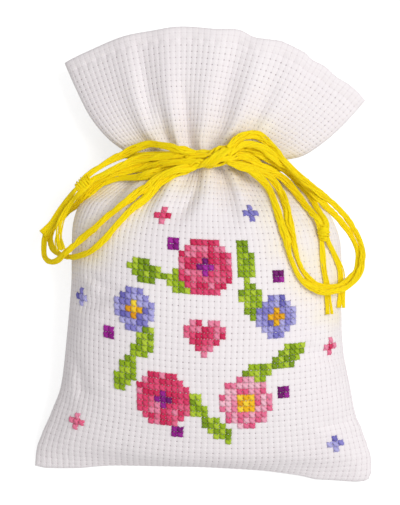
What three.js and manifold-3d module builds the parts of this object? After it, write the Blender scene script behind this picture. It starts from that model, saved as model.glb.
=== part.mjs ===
// Potpourri sachet of even-weave cloth, lying on its back.
// Two cloth panels are sewn together at the sides and the bottom and stuffed, gathered at the neck
// by a doubled length of stranded cotton tied in a bow, and spread above it into a pleated frill.
// Millimetres. +X runs across the sachet, +Y from its bottom seam to the frill, +Z out of its front.
// The origin is under the middle of the bag's own box, on the surface that the sachet lies on.

import * as THREE from 'three';
import { mergeVertices } from 'three/addons/utils/BufferGeometryUtils.js';
import loadManifold from 'manifold-3d';

// Driving sizes of the cloth
const clothWidth = 80;
const clothLength = 116;
const clothThickness = 0.7;
const hemDepth = 2.9;
const hemFold = 0.6;
const seamGap = 0.3;
const blocksAcross = 57;
const blocksAlong = 82;

// Driving heights above the table
const bellyHeight = 26;
const seamHeight = 10.3;
const neckFrontHeight = 15.2;
const neckBackHeight = 5.4;
const frillFrontHeight = 18;
const frillBackHeight = 1.9;
const earHeight = 1.8;
const bottomSeamHeight = 7;

// Filling and threads
const fillingClearance = 0.45;
const sewingThread = 0.25;
const threadClearance = 0.2;
const threadInset = 1.5;
const bottomThreadInset = 2.25;

// Embroidery on the front
const stitchHeight = 0.45;
const stitchClearance = 0.25;
const stitchInset = 0.16;

// Tie of stranded cotton
const flossDiameter = 1.3;
const endDiameter = 0.8;
const tailKnotDiameter = 2.6;
const tailKnotLength = 3;
const bowCoreDiameter = 2;
const bowBandDiameter = 1.5;
const ringSpacingShare = 2.5;

// Windings round the neck, open at the front where the bow is knotted
const windingCentre = [0.9, 23.4, 10.05];
const windingHalfWidth = 19.1;
const windingHalfDepth = 7.1;
const windingSag = 1.2;
const windingTilt = 0.043;
const windingPitch = 1.6;
const windingOpening = [-1.4, 5.8];
const windingPoints = 30;

const halfWidth = clothWidth / 2;
const neckShare = 0.714;

// How far the plan is moved towards the frill to centre the bag's box on the origin
const frillwardShift = 0.5;

// Stations along the cloth, as shares of its length from the bottom seam to the hem
const stationShares = [
  0, 0.05, 0.11, 0.18, 0.28, 0.4, 0.5, 0.56, 0.62, 0.67, 0.7, neckShare, 0.75, 0.8, 0.87, 0.94, 1,
];

// Places of the two side seams: x in shares of half the cloth's width, y in shares of its length
const leftSeamShares = [
  [-1.005, -0.44], [-0.985, -0.388], [-0.915, -0.33], [-0.845, -0.266], [-0.808, -0.168],
  [-0.778, -0.05], [-0.765, 0.047], [-0.725, 0.097], [-0.612, 0.134], [-0.49, 0.161],
  [-0.413, 0.181], [-0.38, 0.193], [-0.44, 0.21], [-0.55, 0.238], [-0.665, 0.285],
  [-0.747, 0.34], [-0.815, 0.393],
];
const rightSeamShares = [
  [0.992, -0.466], [1, -0.417], [0.95, -0.36], [0.89, -0.295], [0.84, -0.198],
  [0.832, -0.082], [0.812, 0.019], [0.76, 0.074], [0.665, 0.109], [0.56, 0.141],
  [0.465, 0.163], [0.42, 0.179], [0.448, 0.194], [0.575, 0.202], [0.72, 0.231],
  [0.847, 0.271], [0.957, 0.315],
];

// Places of the middle of the front and of the back, in the same shares
const frontMiddleShares = [
  [0, -0.439], [0, -0.425], [0, -0.379], [0, -0.315], [0, -0.216],
  [0, -0.094], [0, 0.005], [0.005, 0.065], [0.01, 0.121], [0.015, 0.165],
  [0.018, 0.186], [0.02, 0.196], [0.025, 0.222], [0.035, 0.266], [0.045, 0.33],
  [0.058, 0.394], [0.07, 0.453],
];
const backMiddleShares = [
  [0, -0.439], [0, -0.408], [0, -0.36], [0, -0.292], [0, -0.193],
  [0, -0.073], [0, 0.026], [0.005, 0.082], [0.01, 0.133], [0.015, 0.168],
  [0.018, 0.187], [0.02, 0.196], [0.025, 0.219], [0.035, 0.262], [0.045, 0.324],
  [0.058, 0.386], [0.07, 0.44],
];

// Heights of the seams and of the middles, in shares of the named heights
const seamRiseShares = [0, 0.16, 0.43, 0.7, 0.9, 0.98, 1, 1, 1, 1, 1, 1, 0.99, 0.95, 0.9, 0.83, 0.75];
const frontBodyShares = [0, 0.24, 0.46, 0.68, 0.89, 1, 0.97, 0.885, 0.73, 0.53];
const backBodyShares = [1, 0.36, 0.02, 0, 0, 0, 0, 0, 0.06, 0.4];
const frontFrillShares = [0.02, 0.36, 0.72, 0.93, 1];
const backFrillShares = [0.06, 0.42, 0.74, 0.92, 1];

// How round a row of cloth is from seam to seam: a half is an ellipse, and one a flat arch
const roundnessShares = [
  0.95, 0.72, 0.58, 0.52, 0.5, 0.5, 0.5, 0.5, 0.5, 0.5, 0.5, 0.5, 0.55, 0.65, 0.76, 0.84, 0.9,
];

// Pleats: the valleys' places across each panel in shares of half its width, and their strengths
const frontValleyShares = [-0.72, -0.43, -0.19, 0.165, 0.37, 0.65];
const frontStrengthShares = [0.55, 1, 0.85, 1, 0.6, 0.75];
const backValleyShares = [-0.6, -0.28, 0.05, 0.34, 0.66];
const backStrengthShares = [0.7, 0.95, 0.8, 1, 0.65];

// The pleats' steepest slope along the cloth, in radians at the neck and as shares of it elsewhere
const pleatSlope = 1.25;
const pleatShares = [
  0, 0, 0, 0, 0, 0, 0.06, 0.22, 0.52, 0.82, 0.96, 1, 0.9, 0.72, 0.52, 0.38, 0.3,
];

// Grid counts
const columnsPerPleat = 6;
const frontRows = 26;
const backRows = 20;
const envelopeSteps = 96;
const walkSteps = 240;
const tubeSides = 8;
const bowBandRings = 8;
const endSides = 6;

// A smooth line through values at stations, with no overshoot between them
function smoothLine(stations, values) {
  const slopes = values.map((value, i) => {
    if (i === 0 || i === values.length - 1) return 0;
    const before = (value - values[i - 1]) / (stations[i] - stations[i - 1]);
    const after = (values[i + 1] - value) / (stations[i + 1] - stations[i]);
    return before * after <= 0 ? 0 : (2 * before * after) / (before + after);
  });
  const last = values.length - 1;
  slopes[0] = (values[1] - values[0]) / (stations[1] - stations[0]);
  slopes[last] = (values[last] - values[last - 1]) / (stations[last] - stations[last - 1]);
  return (at) => {
    const t = Math.min(Math.max(at, stations[0]), stations[last]);
    let i = 0;
    while (i < last - 1 && t > stations[i + 1]) i += 1;
    const span = stations[i + 1] - stations[i];
    const x = (t - stations[i]) / span;
    const rise = x * x * (3 - 2 * x);
    const leave = x * (1 - x) * (1 - x) * span;
    const arrive = x * x * (x - 1) * span;
    return values[i] * (1 - rise) + values[i + 1] * rise + slopes[i] * leave + slopes[i + 1] * arrive;
  };
}

// A straight-sided line through values at stations
function straightLine(stations, values) {
  return (at) => {
    const last = values.length - 1;
    let i = 0;
    while (i < last - 1 && at > stations[i + 1]) i += 1;
    const x = (at - stations[i]) / (stations[i + 1] - stations[i]);
    return values[i] + (values[i + 1] - values[i]) * Math.min(Math.max(x, 0), 1);
  };
}

// A plan curve through shares of the cloth's size
function planLine(shares) {
  const x = smoothLine(stationShares, shares.map((place) => place[0] * halfWidth));
  const y = smoothLine(stationShares, shares.map((place) => place[1] * clothLength + frillwardShift));
  return (v) => new THREE.Vector2(x(v), y(v));
}

const leftSeam = planLine(leftSeamShares);
const rightSeam = planLine(rightSeamShares);
const roundness = smoothLine(stationShares, roundnessShares);
const steepness = smoothLine(stationShares, pleatShares.map((share) => share * pleatSlope));
const seamLevel = smoothLine(
  stationShares,
  seamRiseShares.map((share) => earHeight + share * (seamHeight - earHeight)),
);

// Heights of a panel's middle, from the bottom seam over the body and the neck to the hem
function middleLevels(bodyShares, bodyFrom, bodyTo, neckLevel, frillShares, hemLevel) {
  const body = bodyShares.map((share) => bodyFrom + share * (bodyTo - bodyFrom));
  const neck = [neckLevel, neckLevel];
  const frill = frillShares.map((share) => neckLevel + share * (hemLevel - neckLevel));
  return [...body, ...neck, ...frill];
}

const frontLevels = middleLevels(
  frontBodyShares, bottomSeamHeight, bellyHeight, neckFrontHeight, frontFrillShares, frillFrontHeight,
);
const backRest = clothThickness / 2;
const backLevels = middleLevels(
  backBodyShares, backRest, bottomSeamHeight, neckBackHeight, backFrillShares, frillBackHeight,
);

// Phases of the pleats across a panel: a whole turn from crest to crest, with the seams as crests
function pleatPattern(valleys, strengths) {
  const knots = [-1];
  valleys.forEach((valley, i) => {
    knots.push(valley);
    knots.push(i === valleys.length - 1 ? 1 : (valley + valleys[i + 1]) / 2);
  });
  const phase = straightLine(knots, knots.map((_, i) => i * Math.PI));
  const back = straightLine(knots.map((_, i) => i * Math.PI), knots);
  const strength = smoothLine([-1, ...valleys, 1], [strengths[0], ...strengths, strengths.at(-1)]);
  const crests = knots.filter((_, i) => i % 2 === 0);
  const count = valleys.length * columnsPerPleat;
  const columns = Array.from({ length: count + 1 }, (_, i) => back((2 * Math.PI * i) / columnsPerPleat));
  return { phase, strength, crests, columns };
}

const front = {
  side: 1,
  middle: planLine(frontMiddleShares),
  level: smoothLine(stationShares, frontLevels),
  pleats: pleatPattern(frontValleyShares, frontStrengthShares),
  rows: new Map(),
};
const back = {
  side: -1,
  middle: planLine(backMiddleShares),
  level: smoothLine(stationShares, backLevels),
  pleats: pleatPattern(backValleyShares, backStrengthShares),
  rows: new Map(),
};

// A row of cloth runs from u = -1 at the left seam to u = 1 at the right one
const rowShares = 2;

// Walk across the cloth at a slope that swings from pleat to pleat.
// Returns how far along the row each step is, as a share, and how deep it lies below the crests.
function walkPleats(panel, v) {
  const { phase, strength, crests } = panel.pleats;
  const step = clothWidth / walkSteps;
  const places = [0];
  const depths = [0];
  for (let i = 0; i < walkSteps; i += 1) {
    const u = -1 + (rowShares * (i + 0.5)) / walkSteps;
    const slope = steepness(v) * strength(u) * Math.sin(phase(u));
    places.push(places[i] + Math.cos(slope) * step);
    depths.push(depths[i] + Math.sin(slope) * step);
  }
  const shareAt = (i) => -1 + (rowShares * i) / walkSteps;
  const depthAt = straightLine(depths.map((_, i) => shareAt(i)), depths);
  const drift = straightLine(crests, crests.map((crest) => depthAt(crest)));
  const stations = depths.map((_, i) => shareAt(i));
  const place = straightLine(stations, places.map((value) => value / places.at(-1)));
  const depth = straightLine(stations, depths.map((value, i) => Math.max(value - drift(shareAt(i)), 0)));
  return { place, depth };
}

// One row of cloth from seam to seam, as a function of u from -1 to 1
const facingShare = 0.02;
function makeRow(panel, v) {
  const left = leftSeam(v);
  const right = rightSeam(v);
  const middle = panel.middle(v);
  const half = right.clone().sub(left).multiplyScalar(0.5);
  const bow = left.clone().add(right).multiplyScalar(0.5).sub(middle);
  const seam = seamLevel(v);
  const rise = panel.level(v) - seam;
  const arch = roundness(v);
  const at = (s) => {
    const plan = middle.clone().addScaledVector(half, s).addScaledVector(bow, s * s);
    return new THREE.Vector3(plan.x, plan.y, seam + rise * Math.max(1 - s * s, 0) ** arch);
  };
  const samples = Array.from({ length: envelopeSteps + 1 }, (_, i) =>
    at(-Math.cos((Math.PI * i) / envelopeSteps)),
  );
  const lengths = [0];
  for (let i = 1; i < samples.length; i += 1) {
    lengths.push(lengths[i - 1] + samples[i].distanceTo(samples[i - 1]));
  }
  const total = lengths.at(-1);
  const turn = straightLine(lengths.map((length) => length / total), lengths.map((_, i) => i));
  const { place, depth } = walkPleats(panel, v);
  const envelope = (share) => at(-Math.cos((Math.PI * turn(share)) / envelopeSteps));
  return (u) => {
    const share = place(u);
    const point = envelope(share);
    const ahead = envelope(Math.min(share + facingShare, 1)).sub(envelope(Math.max(share - facingShare, 0)));
    const flat = Math.hypot(ahead.x, ahead.y);
    const inward = new THREE.Vector3((ahead.x / flat) * ahead.z, (ahead.y / flat) * ahead.z, -flat);
    inward.normalize().multiplyScalar(panel.side);
    const room = Math.max(Math.abs(point.z - seam) - clothThickness, 0);
    const fall = room > 0 ? room * Math.tanh(depth(u) / room) : 0;
    return point.addScaledVector(inward, fall);
  };
}

function rowOf(panel, v) {
  const key = v.toFixed(6);
  if (!panel.rows.has(key)) panel.rows.set(key, makeRow(panel, v));
  return panel.rows.get(key);
}

// The outward direction of the cloth at (u, v)
const probeShare = 0.004;
function outward(panel, u, v) {
  const row = rowOf(panel, v);
  const across = row(Math.min(u + probeShare, 1)).sub(row(Math.max(u - probeShare, -1)));
  const up = rowOf(panel, Math.min(v + probeShare, 1))(u);
  const along = up.sub(rowOf(panel, Math.max(v - probeShare, 0))(u));
  return across.cross(along).normalize().multiplyScalar(panel.side);
}

// The middle of the cloth's thickness at (u, v), clear of the other panel along the seams
function clothAt(panel, u, v) {
  const normal = outward(panel, u, v);
  const clear = seamGap / 2 + (clothThickness / 2) * Math.abs(normal.z);
  const point = rowOf(panel, v)(u).add(new THREE.Vector3(0, 0, panel.side * clear));
  return { point, normal };
}

// A point off the cloth: outside it for a positive distance, and never below the table
function offCloth(panel, u, v, distance) {
  const { point, normal } = clothAt(panel, u, v);
  if (panel.side < 0) point.z = Math.max(point.z, backRest);
  point.addScaledVector(normal, distance);
  point.z = Math.max(point.z, panel.side < 0 && distance < 0 ? clothThickness : 0);
  return point;
}

// A closed geometry from points and triangles
function solidOf(points, triangles) {
  const geometry = new THREE.BufferGeometry();
  const flat = points.flatMap((point) => [point.x, point.y, point.z]);
  geometry.setAttribute('position', new THREE.Float32BufferAttribute(flat, 3));
  geometry.setIndex(triangles.flat());
  return geometry;
}

// Two grids of points, an upper and a lower one, joined round their rims into one closed shell
function shellOf(upper, lower, flip) {
  const rows = upper.length;
  const columns = upper[0].length;
  const points = [...upper.flat(), ...lower.flat()];
  const top = (i, j) => i * columns + j;
  const under = (i, j) => rows * columns + i * columns + j;
  const faces = [];
  const quad = (a, b, c, d) => faces.push([a, b, c], [a, c, d]);
  for (let i = 0; i < rows - 1; i += 1) {
    for (let j = 0; j < columns - 1; j += 1) {
      quad(top(i, j), top(i, j + 1), top(i + 1, j + 1), top(i + 1, j));
      quad(under(i, j), under(i + 1, j), under(i + 1, j + 1), under(i, j + 1));
    }
  }
  for (let j = 0; j < columns - 1; j += 1) {
    quad(top(0, j), under(0, j), under(0, j + 1), top(0, j + 1));
    quad(top(rows - 1, j + 1), under(rows - 1, j + 1), under(rows - 1, j), top(rows - 1, j));
  }
  for (let i = 0; i < rows - 1; i += 1) {
    quad(top(i + 1, 0), under(i + 1, 0), under(i, 0), top(i, 0));
    quad(top(i, columns - 1), under(i, columns - 1), under(i + 1, columns - 1), top(i + 1, columns - 1));
  }
  return solidOf(points, flip ? faces.map(([a, b, c]) => [a, c, b]) : faces);
}

// Rows of a panel: even ones up to the hem's stitch line, where the folded edge starts as a step
const hemShare = 1 - hemDepth / clothLength;
const hemStepShare = 0.003;
const hemTaperShare = 0.25;
function panelRows(count) {
  const even = Array.from({ length: count }, (_, i) => (hemShare * i) / (count - 1));
  return [...even, hemShare + hemStepShare, 1];
}

function panelGeometry(panel, count) {
  const rows = panelRows(count);
  const { columns } = panel.pleats;
  const outer = rows.map((v) => columns.map((u) => offCloth(panel, u, v, clothThickness / 2)));
  const inner = rows.map((v) => {
    const fold = v > hemShare ? hemFold : 0;
    return columns.map((u) => {
      const taper = Math.min((1 - Math.abs(u)) / hemTaperShare, 1);
      return offCloth(panel, u, v, -clothThickness / 2 - fold * taper);
    });
  });
  return shellOf(outer, inner, panel.side < 0);
}

// Finishes
const finish = (color, roughness) => new THREE.MeshStandardMaterial({ color, roughness, metalness: 0 });
const cottonCloth = finish(0xf4f0f1, 0.92);
const sewingCotton = finish(0xf7f5f2, 0.8);
const driedFlowers = finish(0x8a6a55, 0.95);
const yellowFloss = finish(0xffd800, 0.6);

// The same panels with their pleats let out, which the filling lies under
const plain = (panel) => ({ ...panel, pleats: { ...panel.pleats, strength: () => 0 }, rows: new Map() });
const frontPlain = plain(front);
const backPlain = plain(back);
function deepestPleat(panel, v) {
  const { depth } = walkPleats(panel, v);
  return Math.max(...panel.pleats.columns.map(depth));
}

// Filling: a pillow inside both panels, on rings that round its corners off
const fillingHalfShare = 0.88;
const fillingFromShare = 0.075;
const fillingToShare = 0.62;
const fillingCornerShare = 0.55;
const fillingRings = 6;
const fillingSpokes = 28;
function fillingGeometry() {
  const middleShare = (fillingFromShare + fillingToShare) / 2;
  const reachShare = (fillingToShare - fillingFromShare) / 2;
  const soften = (value) => Math.sign(value) * Math.abs(value) ** fillingCornerShare;
  const layer = (panel, folded, ring, spoke) => {
    const angle = (2 * Math.PI * spoke) / fillingSpokes;
    const out = ring / fillingRings;
    const u = fillingHalfShare * out * soften(Math.cos(angle));
    const v = middleShare + reachShare * out * soften(Math.sin(angle));
    return offCloth(panel, u, v, -clothThickness / 2 - fillingClearance - deepestPleat(folded, v));
  };
  const points = [];
  const faces = [];
  [[frontPlain, front], [backPlain, back]].forEach(([panel, folded], side) => {
    const base = points.length;
    points.push(layer(panel, folded, 0, 0));
    for (let ring = 1; ring <= fillingRings; ring += 1) {
      for (let spoke = 0; spoke < fillingSpokes; spoke += 1) points.push(layer(panel, folded, ring, spoke));
    }
    const at = (ring, spoke) => base + 1 + (ring - 1) * fillingSpokes + (spoke % fillingSpokes);
    for (let spoke = 0; spoke < fillingSpokes; spoke += 1) {
      const turn = (a, b, c) => faces.push(side === 0 ? [a, b, c] : [a, c, b]);
      turn(base, at(1, spoke), at(1, spoke + 1));
      for (let ring = 1; ring < fillingRings; ring += 1) {
        turn(at(ring, spoke), at(ring + 1, spoke), at(ring + 1, spoke + 1));
        turn(at(ring, spoke), at(ring + 1, spoke + 1), at(ring, spoke + 1));
      }
    }
  });
  const rim = (side, spoke) =>
    side * (points.length / 2) + 1 + (fillingRings - 1) * fillingSpokes + (spoke % fillingSpokes);
  for (let spoke = 0; spoke < fillingSpokes; spoke += 1) {
    faces.push([rim(0, spoke), rim(1, spoke), rim(1, spoke + 1)]);
    faces.push([rim(0, spoke), rim(1, spoke + 1), rim(0, spoke + 1)]);
  }
  return solidOf(points, faces);
}

// A round strand along a smooth line through points
function strand(points, diameter, steps, sides) {
  const line = new THREE.CatmullRomCurve3(points, false, 'centripetal');
  const section = new THREE.Shape(
    Array.from({ length: sides }, (_, i) => {
      const angle = (2 * Math.PI * i) / sides;
      return new THREE.Vector2(Math.cos(angle), Math.sin(angle)).multiplyScalar(diameter / 2);
    }),
  );
  const tube = new THREE.ExtrudeGeometry(section, { steps, bevelEnabled: false, extrudePath: line });
  tube.deleteAttribute('normal');
  tube.deleteAttribute('uv');
  return mergeVertices(tube);
}

// Sewing threads just inside the seams
const threadSides = 5;
const sideStitches = 30;
const bottomStitches = 14;
const hemStitches = 30;
const hemThreadShare = 0.33;
// The cloth's place at a plan distance inside a side seam
function insideSeam(panel, side, v, distance) {
  const edge = rowOf(panel, v)(side);
  let u = side;
  let point = edge;
  while (Math.hypot(point.x - edge.x, point.y - edge.y) < distance) {
    u -= side * probeShare;
    point = rowOf(panel, v)(u);
  }
  return clothAt(panel, u, v).point;
}
function sideThread(side) {
  const fromShare = 0.06;
  const toShare = 0.97;
  const points = Array.from({ length: sideStitches + 1 }, (_, i) => {
    const v = fromShare + ((toShare - fromShare) * i) / sideStitches;
    const over = insideSeam(front, side, v, threadInset);
    return over.add(insideSeam(back, side, v, threadInset)).multiplyScalar(0.5);
  });
  return strand(points, sewingThread, sideStitches, threadSides);
}
function bottomThread() {
  const reachShare = 0.88;
  const v = bottomThreadInset / clothLength;
  const points = Array.from({ length: bottomStitches + 1 }, (_, i) => {
    const u = reachShare * (-1 + (2 * i) / bottomStitches);
    return clothAt(front, u, v).point.add(clothAt(back, u, v).point).multiplyScalar(0.5);
  });
  return strand(points, sewingThread, bottomStitches, threadSides);
}
function hemThread(panel) {
  const reachShare = 0.8;
  const v = hemShare + (1 - hemShare) * hemThreadShare;
  const distance = clothThickness / 2 + hemFold + threadClearance + sewingThread / 2;
  const points = Array.from({ length: hemStitches + 1 }, (_, i) =>
    offCloth(panel, reachShare * (-1 + (2 * i) / hemStitches), v, -distance),
  );
  return strand(points, sewingThread, hemStitches, threadSides);
}

// Embroidery charts, one letter for each crossed stitch, from the top row down
const roseChart = [
  '..ppppp..',
  '.ppppppp.',
  'ppppppppp',
  'pppphpppp',
  'ppphhhppp',
  'pppphpppp',
  'ppppppppp',
  '.ppppppp.',
  '..ppppp..',
];
const bellChart = ['..ppp..', '.ppppp.', 'pppeppp', 'ppeeepp', 'pppeppp', '.ppppp.', '..ppp..'];
const daisyChart = [
  '...ppp...',
  '.ppppppp.',
  '.ppppppp.',
  'pppeeeppp',
  'pppeeeppp',
  'pppeeeppp',
  '.ppppppp.',
  '.ppppppp.',
  '...ppp...',
];
const heartChart = ['.pp.pp.', 'ppppppp', 'ppppppp', '.ppppp.', '..ppp..', '...p...'];
const berryChart = ['pp', 'pp'];
const budChart = ['.p.', 'ppp', '.p.'];

// Where the wreath lies, in cloth blocks from the left seam and from the bottom seam
const wreathColumnBlocks = 28.5;
const wreathRowBlocks = 26.5;
const wreathRadiusBlocks = 12.3;
const berryRadiusBlocks = 16.3;
const berryTurn = 15;
const leafLengthBlocks = 7.4;
const leafWidthBlocks = 3.4;
const leafSwing = 0.75;
const leafReachBlocks = 3.1;
const blossomTurns = [90, 18, -54, -126, 162];
const leafTurns = [54, -18, -90, -162, 126];
const budBlocks = [[20, 46], [37, 47], [51, 24], [50, 7], [6, 9], [5, 30]];

const rosePink = finish(0xe0507f, 0.7);
const plum = finish(0x8a1a86, 0.7);
const paleRose = finish(0xf08aae, 0.7);
const lavender = finish(0x9a93d8, 0.7);
const gold = finish(0xf5c417, 0.7);
const lime = finish(0x8fbf2f, 0.7);

const stitched = [];
const owner = new Map();
const blockKey = (column, row) => `${column},${row}`;
function claim(name, material, blocks) {
  stitched.push({ name, material });
  blocks.forEach(([column, row]) => owner.set(blockKey(column, row), name));
}
function chartBlocks(chart, letter, column, row) {
  const left = Math.round(column - chart[0].length / 2);
  const top = Math.round(row + chart.length / 2) - 1;
  const blocks = [];
  chart.forEach((line, down) => {
    [...line].forEach((mark, along) => {
      if (mark === letter) blocks.push([left + along, top - down]);
    });
  });
  return blocks;
}
const turnPlace = (degrees, radius) => {
  const angle = THREE.MathUtils.degToRad(degrees);
  return [wreathColumnBlocks + radius * Math.cos(angle), wreathRowBlocks + radius * Math.sin(angle)];
};

// A leaf: the blocks whose centres lie inside a lens of this length and width
function leafBlocks(degrees, side) {
  const angle = THREE.MathUtils.degToRad(degrees);
  const heading = angle + (side > 0 ? leafSwing : Math.PI + leafSwing);
  const [baseColumn, baseRow] = turnPlace(degrees, wreathRadiusBlocks);
  const middle = [
    baseColumn + leafReachBlocks * Math.cos(heading),
    baseRow + leafReachBlocks * Math.sin(heading),
  ];
  const blocks = [];
  const reach = Math.ceil(leafLengthBlocks);
  for (let column = Math.floor(middle[0]) - reach; column <= middle[0] + reach; column += 1) {
    for (let row = Math.floor(middle[1]) - reach; row <= middle[1] + reach; row += 1) {
      const x = column + 0.5 - middle[0];
      const y = row + 0.5 - middle[1];
      const along = (x * Math.cos(heading) + y * Math.sin(heading)) / (leafLengthBlocks / 2);
      const across = (-x * Math.sin(heading) + y * Math.cos(heading)) / (leafWidthBlocks / 2);
      if (Math.abs(along) < 1 && Math.abs(across) < 1 - along * along) blocks.push([column, row]);
    }
  }
  return blocks;
}

leafTurns.forEach((degrees, i) => {
  claim(`leaf_spray_${i + 1}`, lime, [...leafBlocks(degrees, 1), ...leafBlocks(degrees, -1)]);
});
blossomTurns.forEach((degrees, i) => {
  const [column, row] = turnPlace(degrees, wreathRadiusBlocks);
  const kind = [roseChart, bellChart, daisyChart, roseChart, bellChart][i];
  const petals = [rosePink, lavender, paleRose, rosePink, lavender][i];
  const [letter, heart] = kind === roseChart ? ['h', plum] : ['e', gold];
  claim(`blossom_${i + 1}_petals`, petals, chartBlocks(kind, 'p', column, row));
  claim(`blossom_${i + 1}_heart`, heart, chartBlocks(kind, letter, column, row));
});
claim('wreath_heart', rosePink, chartBlocks(heartChart, 'p', wreathColumnBlocks, wreathRowBlocks));
leafTurns.forEach((degrees, i) => {
  const [column, row] = turnPlace(degrees - berryTurn, berryRadiusBlocks);
  claim(`berry_${i + 1}`, plum, chartBlocks(berryChart, 'p', column, row));
});
budBlocks.forEach(([column, row], i) => {
  claim(`bud_${i + 1}`, i % 2 ? lavender : rosePink, chartBlocks(budChart, 'p', column, row));
});

// The raised patch that the crossed stitches of one piece make on the front
function patchGeometry(blocks) {
  const held = new Set(blocks.map(([column, row]) => blockKey(column, row)));
  const blockWidth = clothWidth / blocksAcross;
  const upper = [];
  const lower = [];
  const known = new Map();
  const round = [[-1, -1], [0, -1], [0, 0], [-1, 0]];
  const corner = (column, row, block) => {
    const present = round.map(([x, y]) => held.has(blockKey(column + x, row + y)));
    const own = round.findIndex(([x, y]) => column + x === block[0] && row + y === block[1]);
    let first = own;
    while (present[(first + 3) % 4] && (first + 3) % 4 !== own) first = (first + 3) % 4;
    const run = [first];
    while (present[(run.at(-1) + 1) % 4] && run.length < 4) run.push((run.at(-1) + 1) % 4);
    const key = `${column},${row},${run.length === 4 ? 0 : first}`;
    if (!known.has(key)) {
      const sum = [0, 1].map((axis) => run.reduce((total, k) => total + 2 * round[k][axis] + 1, 0));
      const scale = ((run.length === 2 ? 0.5 : 1) * stitchInset) / blockWidth;
      const u = -1 + (rowShares * (column + sum[0] * scale)) / blocksAcross;
      const v = (row + sum[1] * scale) / blocksAlong;
      known.set(key, upper.length);
      const base = clothThickness / 2 + stitchClearance;
      upper.push(offCloth(front, u, v, base + stitchHeight));
      lower.push(offCloth(front, u, v, base));
    }
    return known.get(key);
  };
  const tops = [];
  const walls = [];
  blocks.forEach((block) => {
    const [column, row] = block;
    const ring = [[0, 0], [1, 0], [1, 1], [0, 1]].map(([x, y]) => corner(column + x, row + y, block));
    tops.push([ring[0], ring[1], ring[2]], [ring[0], ring[2], ring[3]]);
    [[0, -1], [1, 0], [0, 1], [-1, 0]].forEach(([x, y], i) => {
      if (!held.has(blockKey(column + x, row + y))) walls.push([ring[i], ring[(i + 1) % 4]]);
    });
  });
  const count = upper.length;
  const faces = [
    ...tops,
    ...tops.map(([a, b, c]) => [a + count, c + count, b + count]),
    ...walls.flatMap(([a, b]) => [[a, a + count, b + count], [a, b + count, b]]),
  ];
  return solidOf([...upper, ...lower], faces);
}

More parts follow.
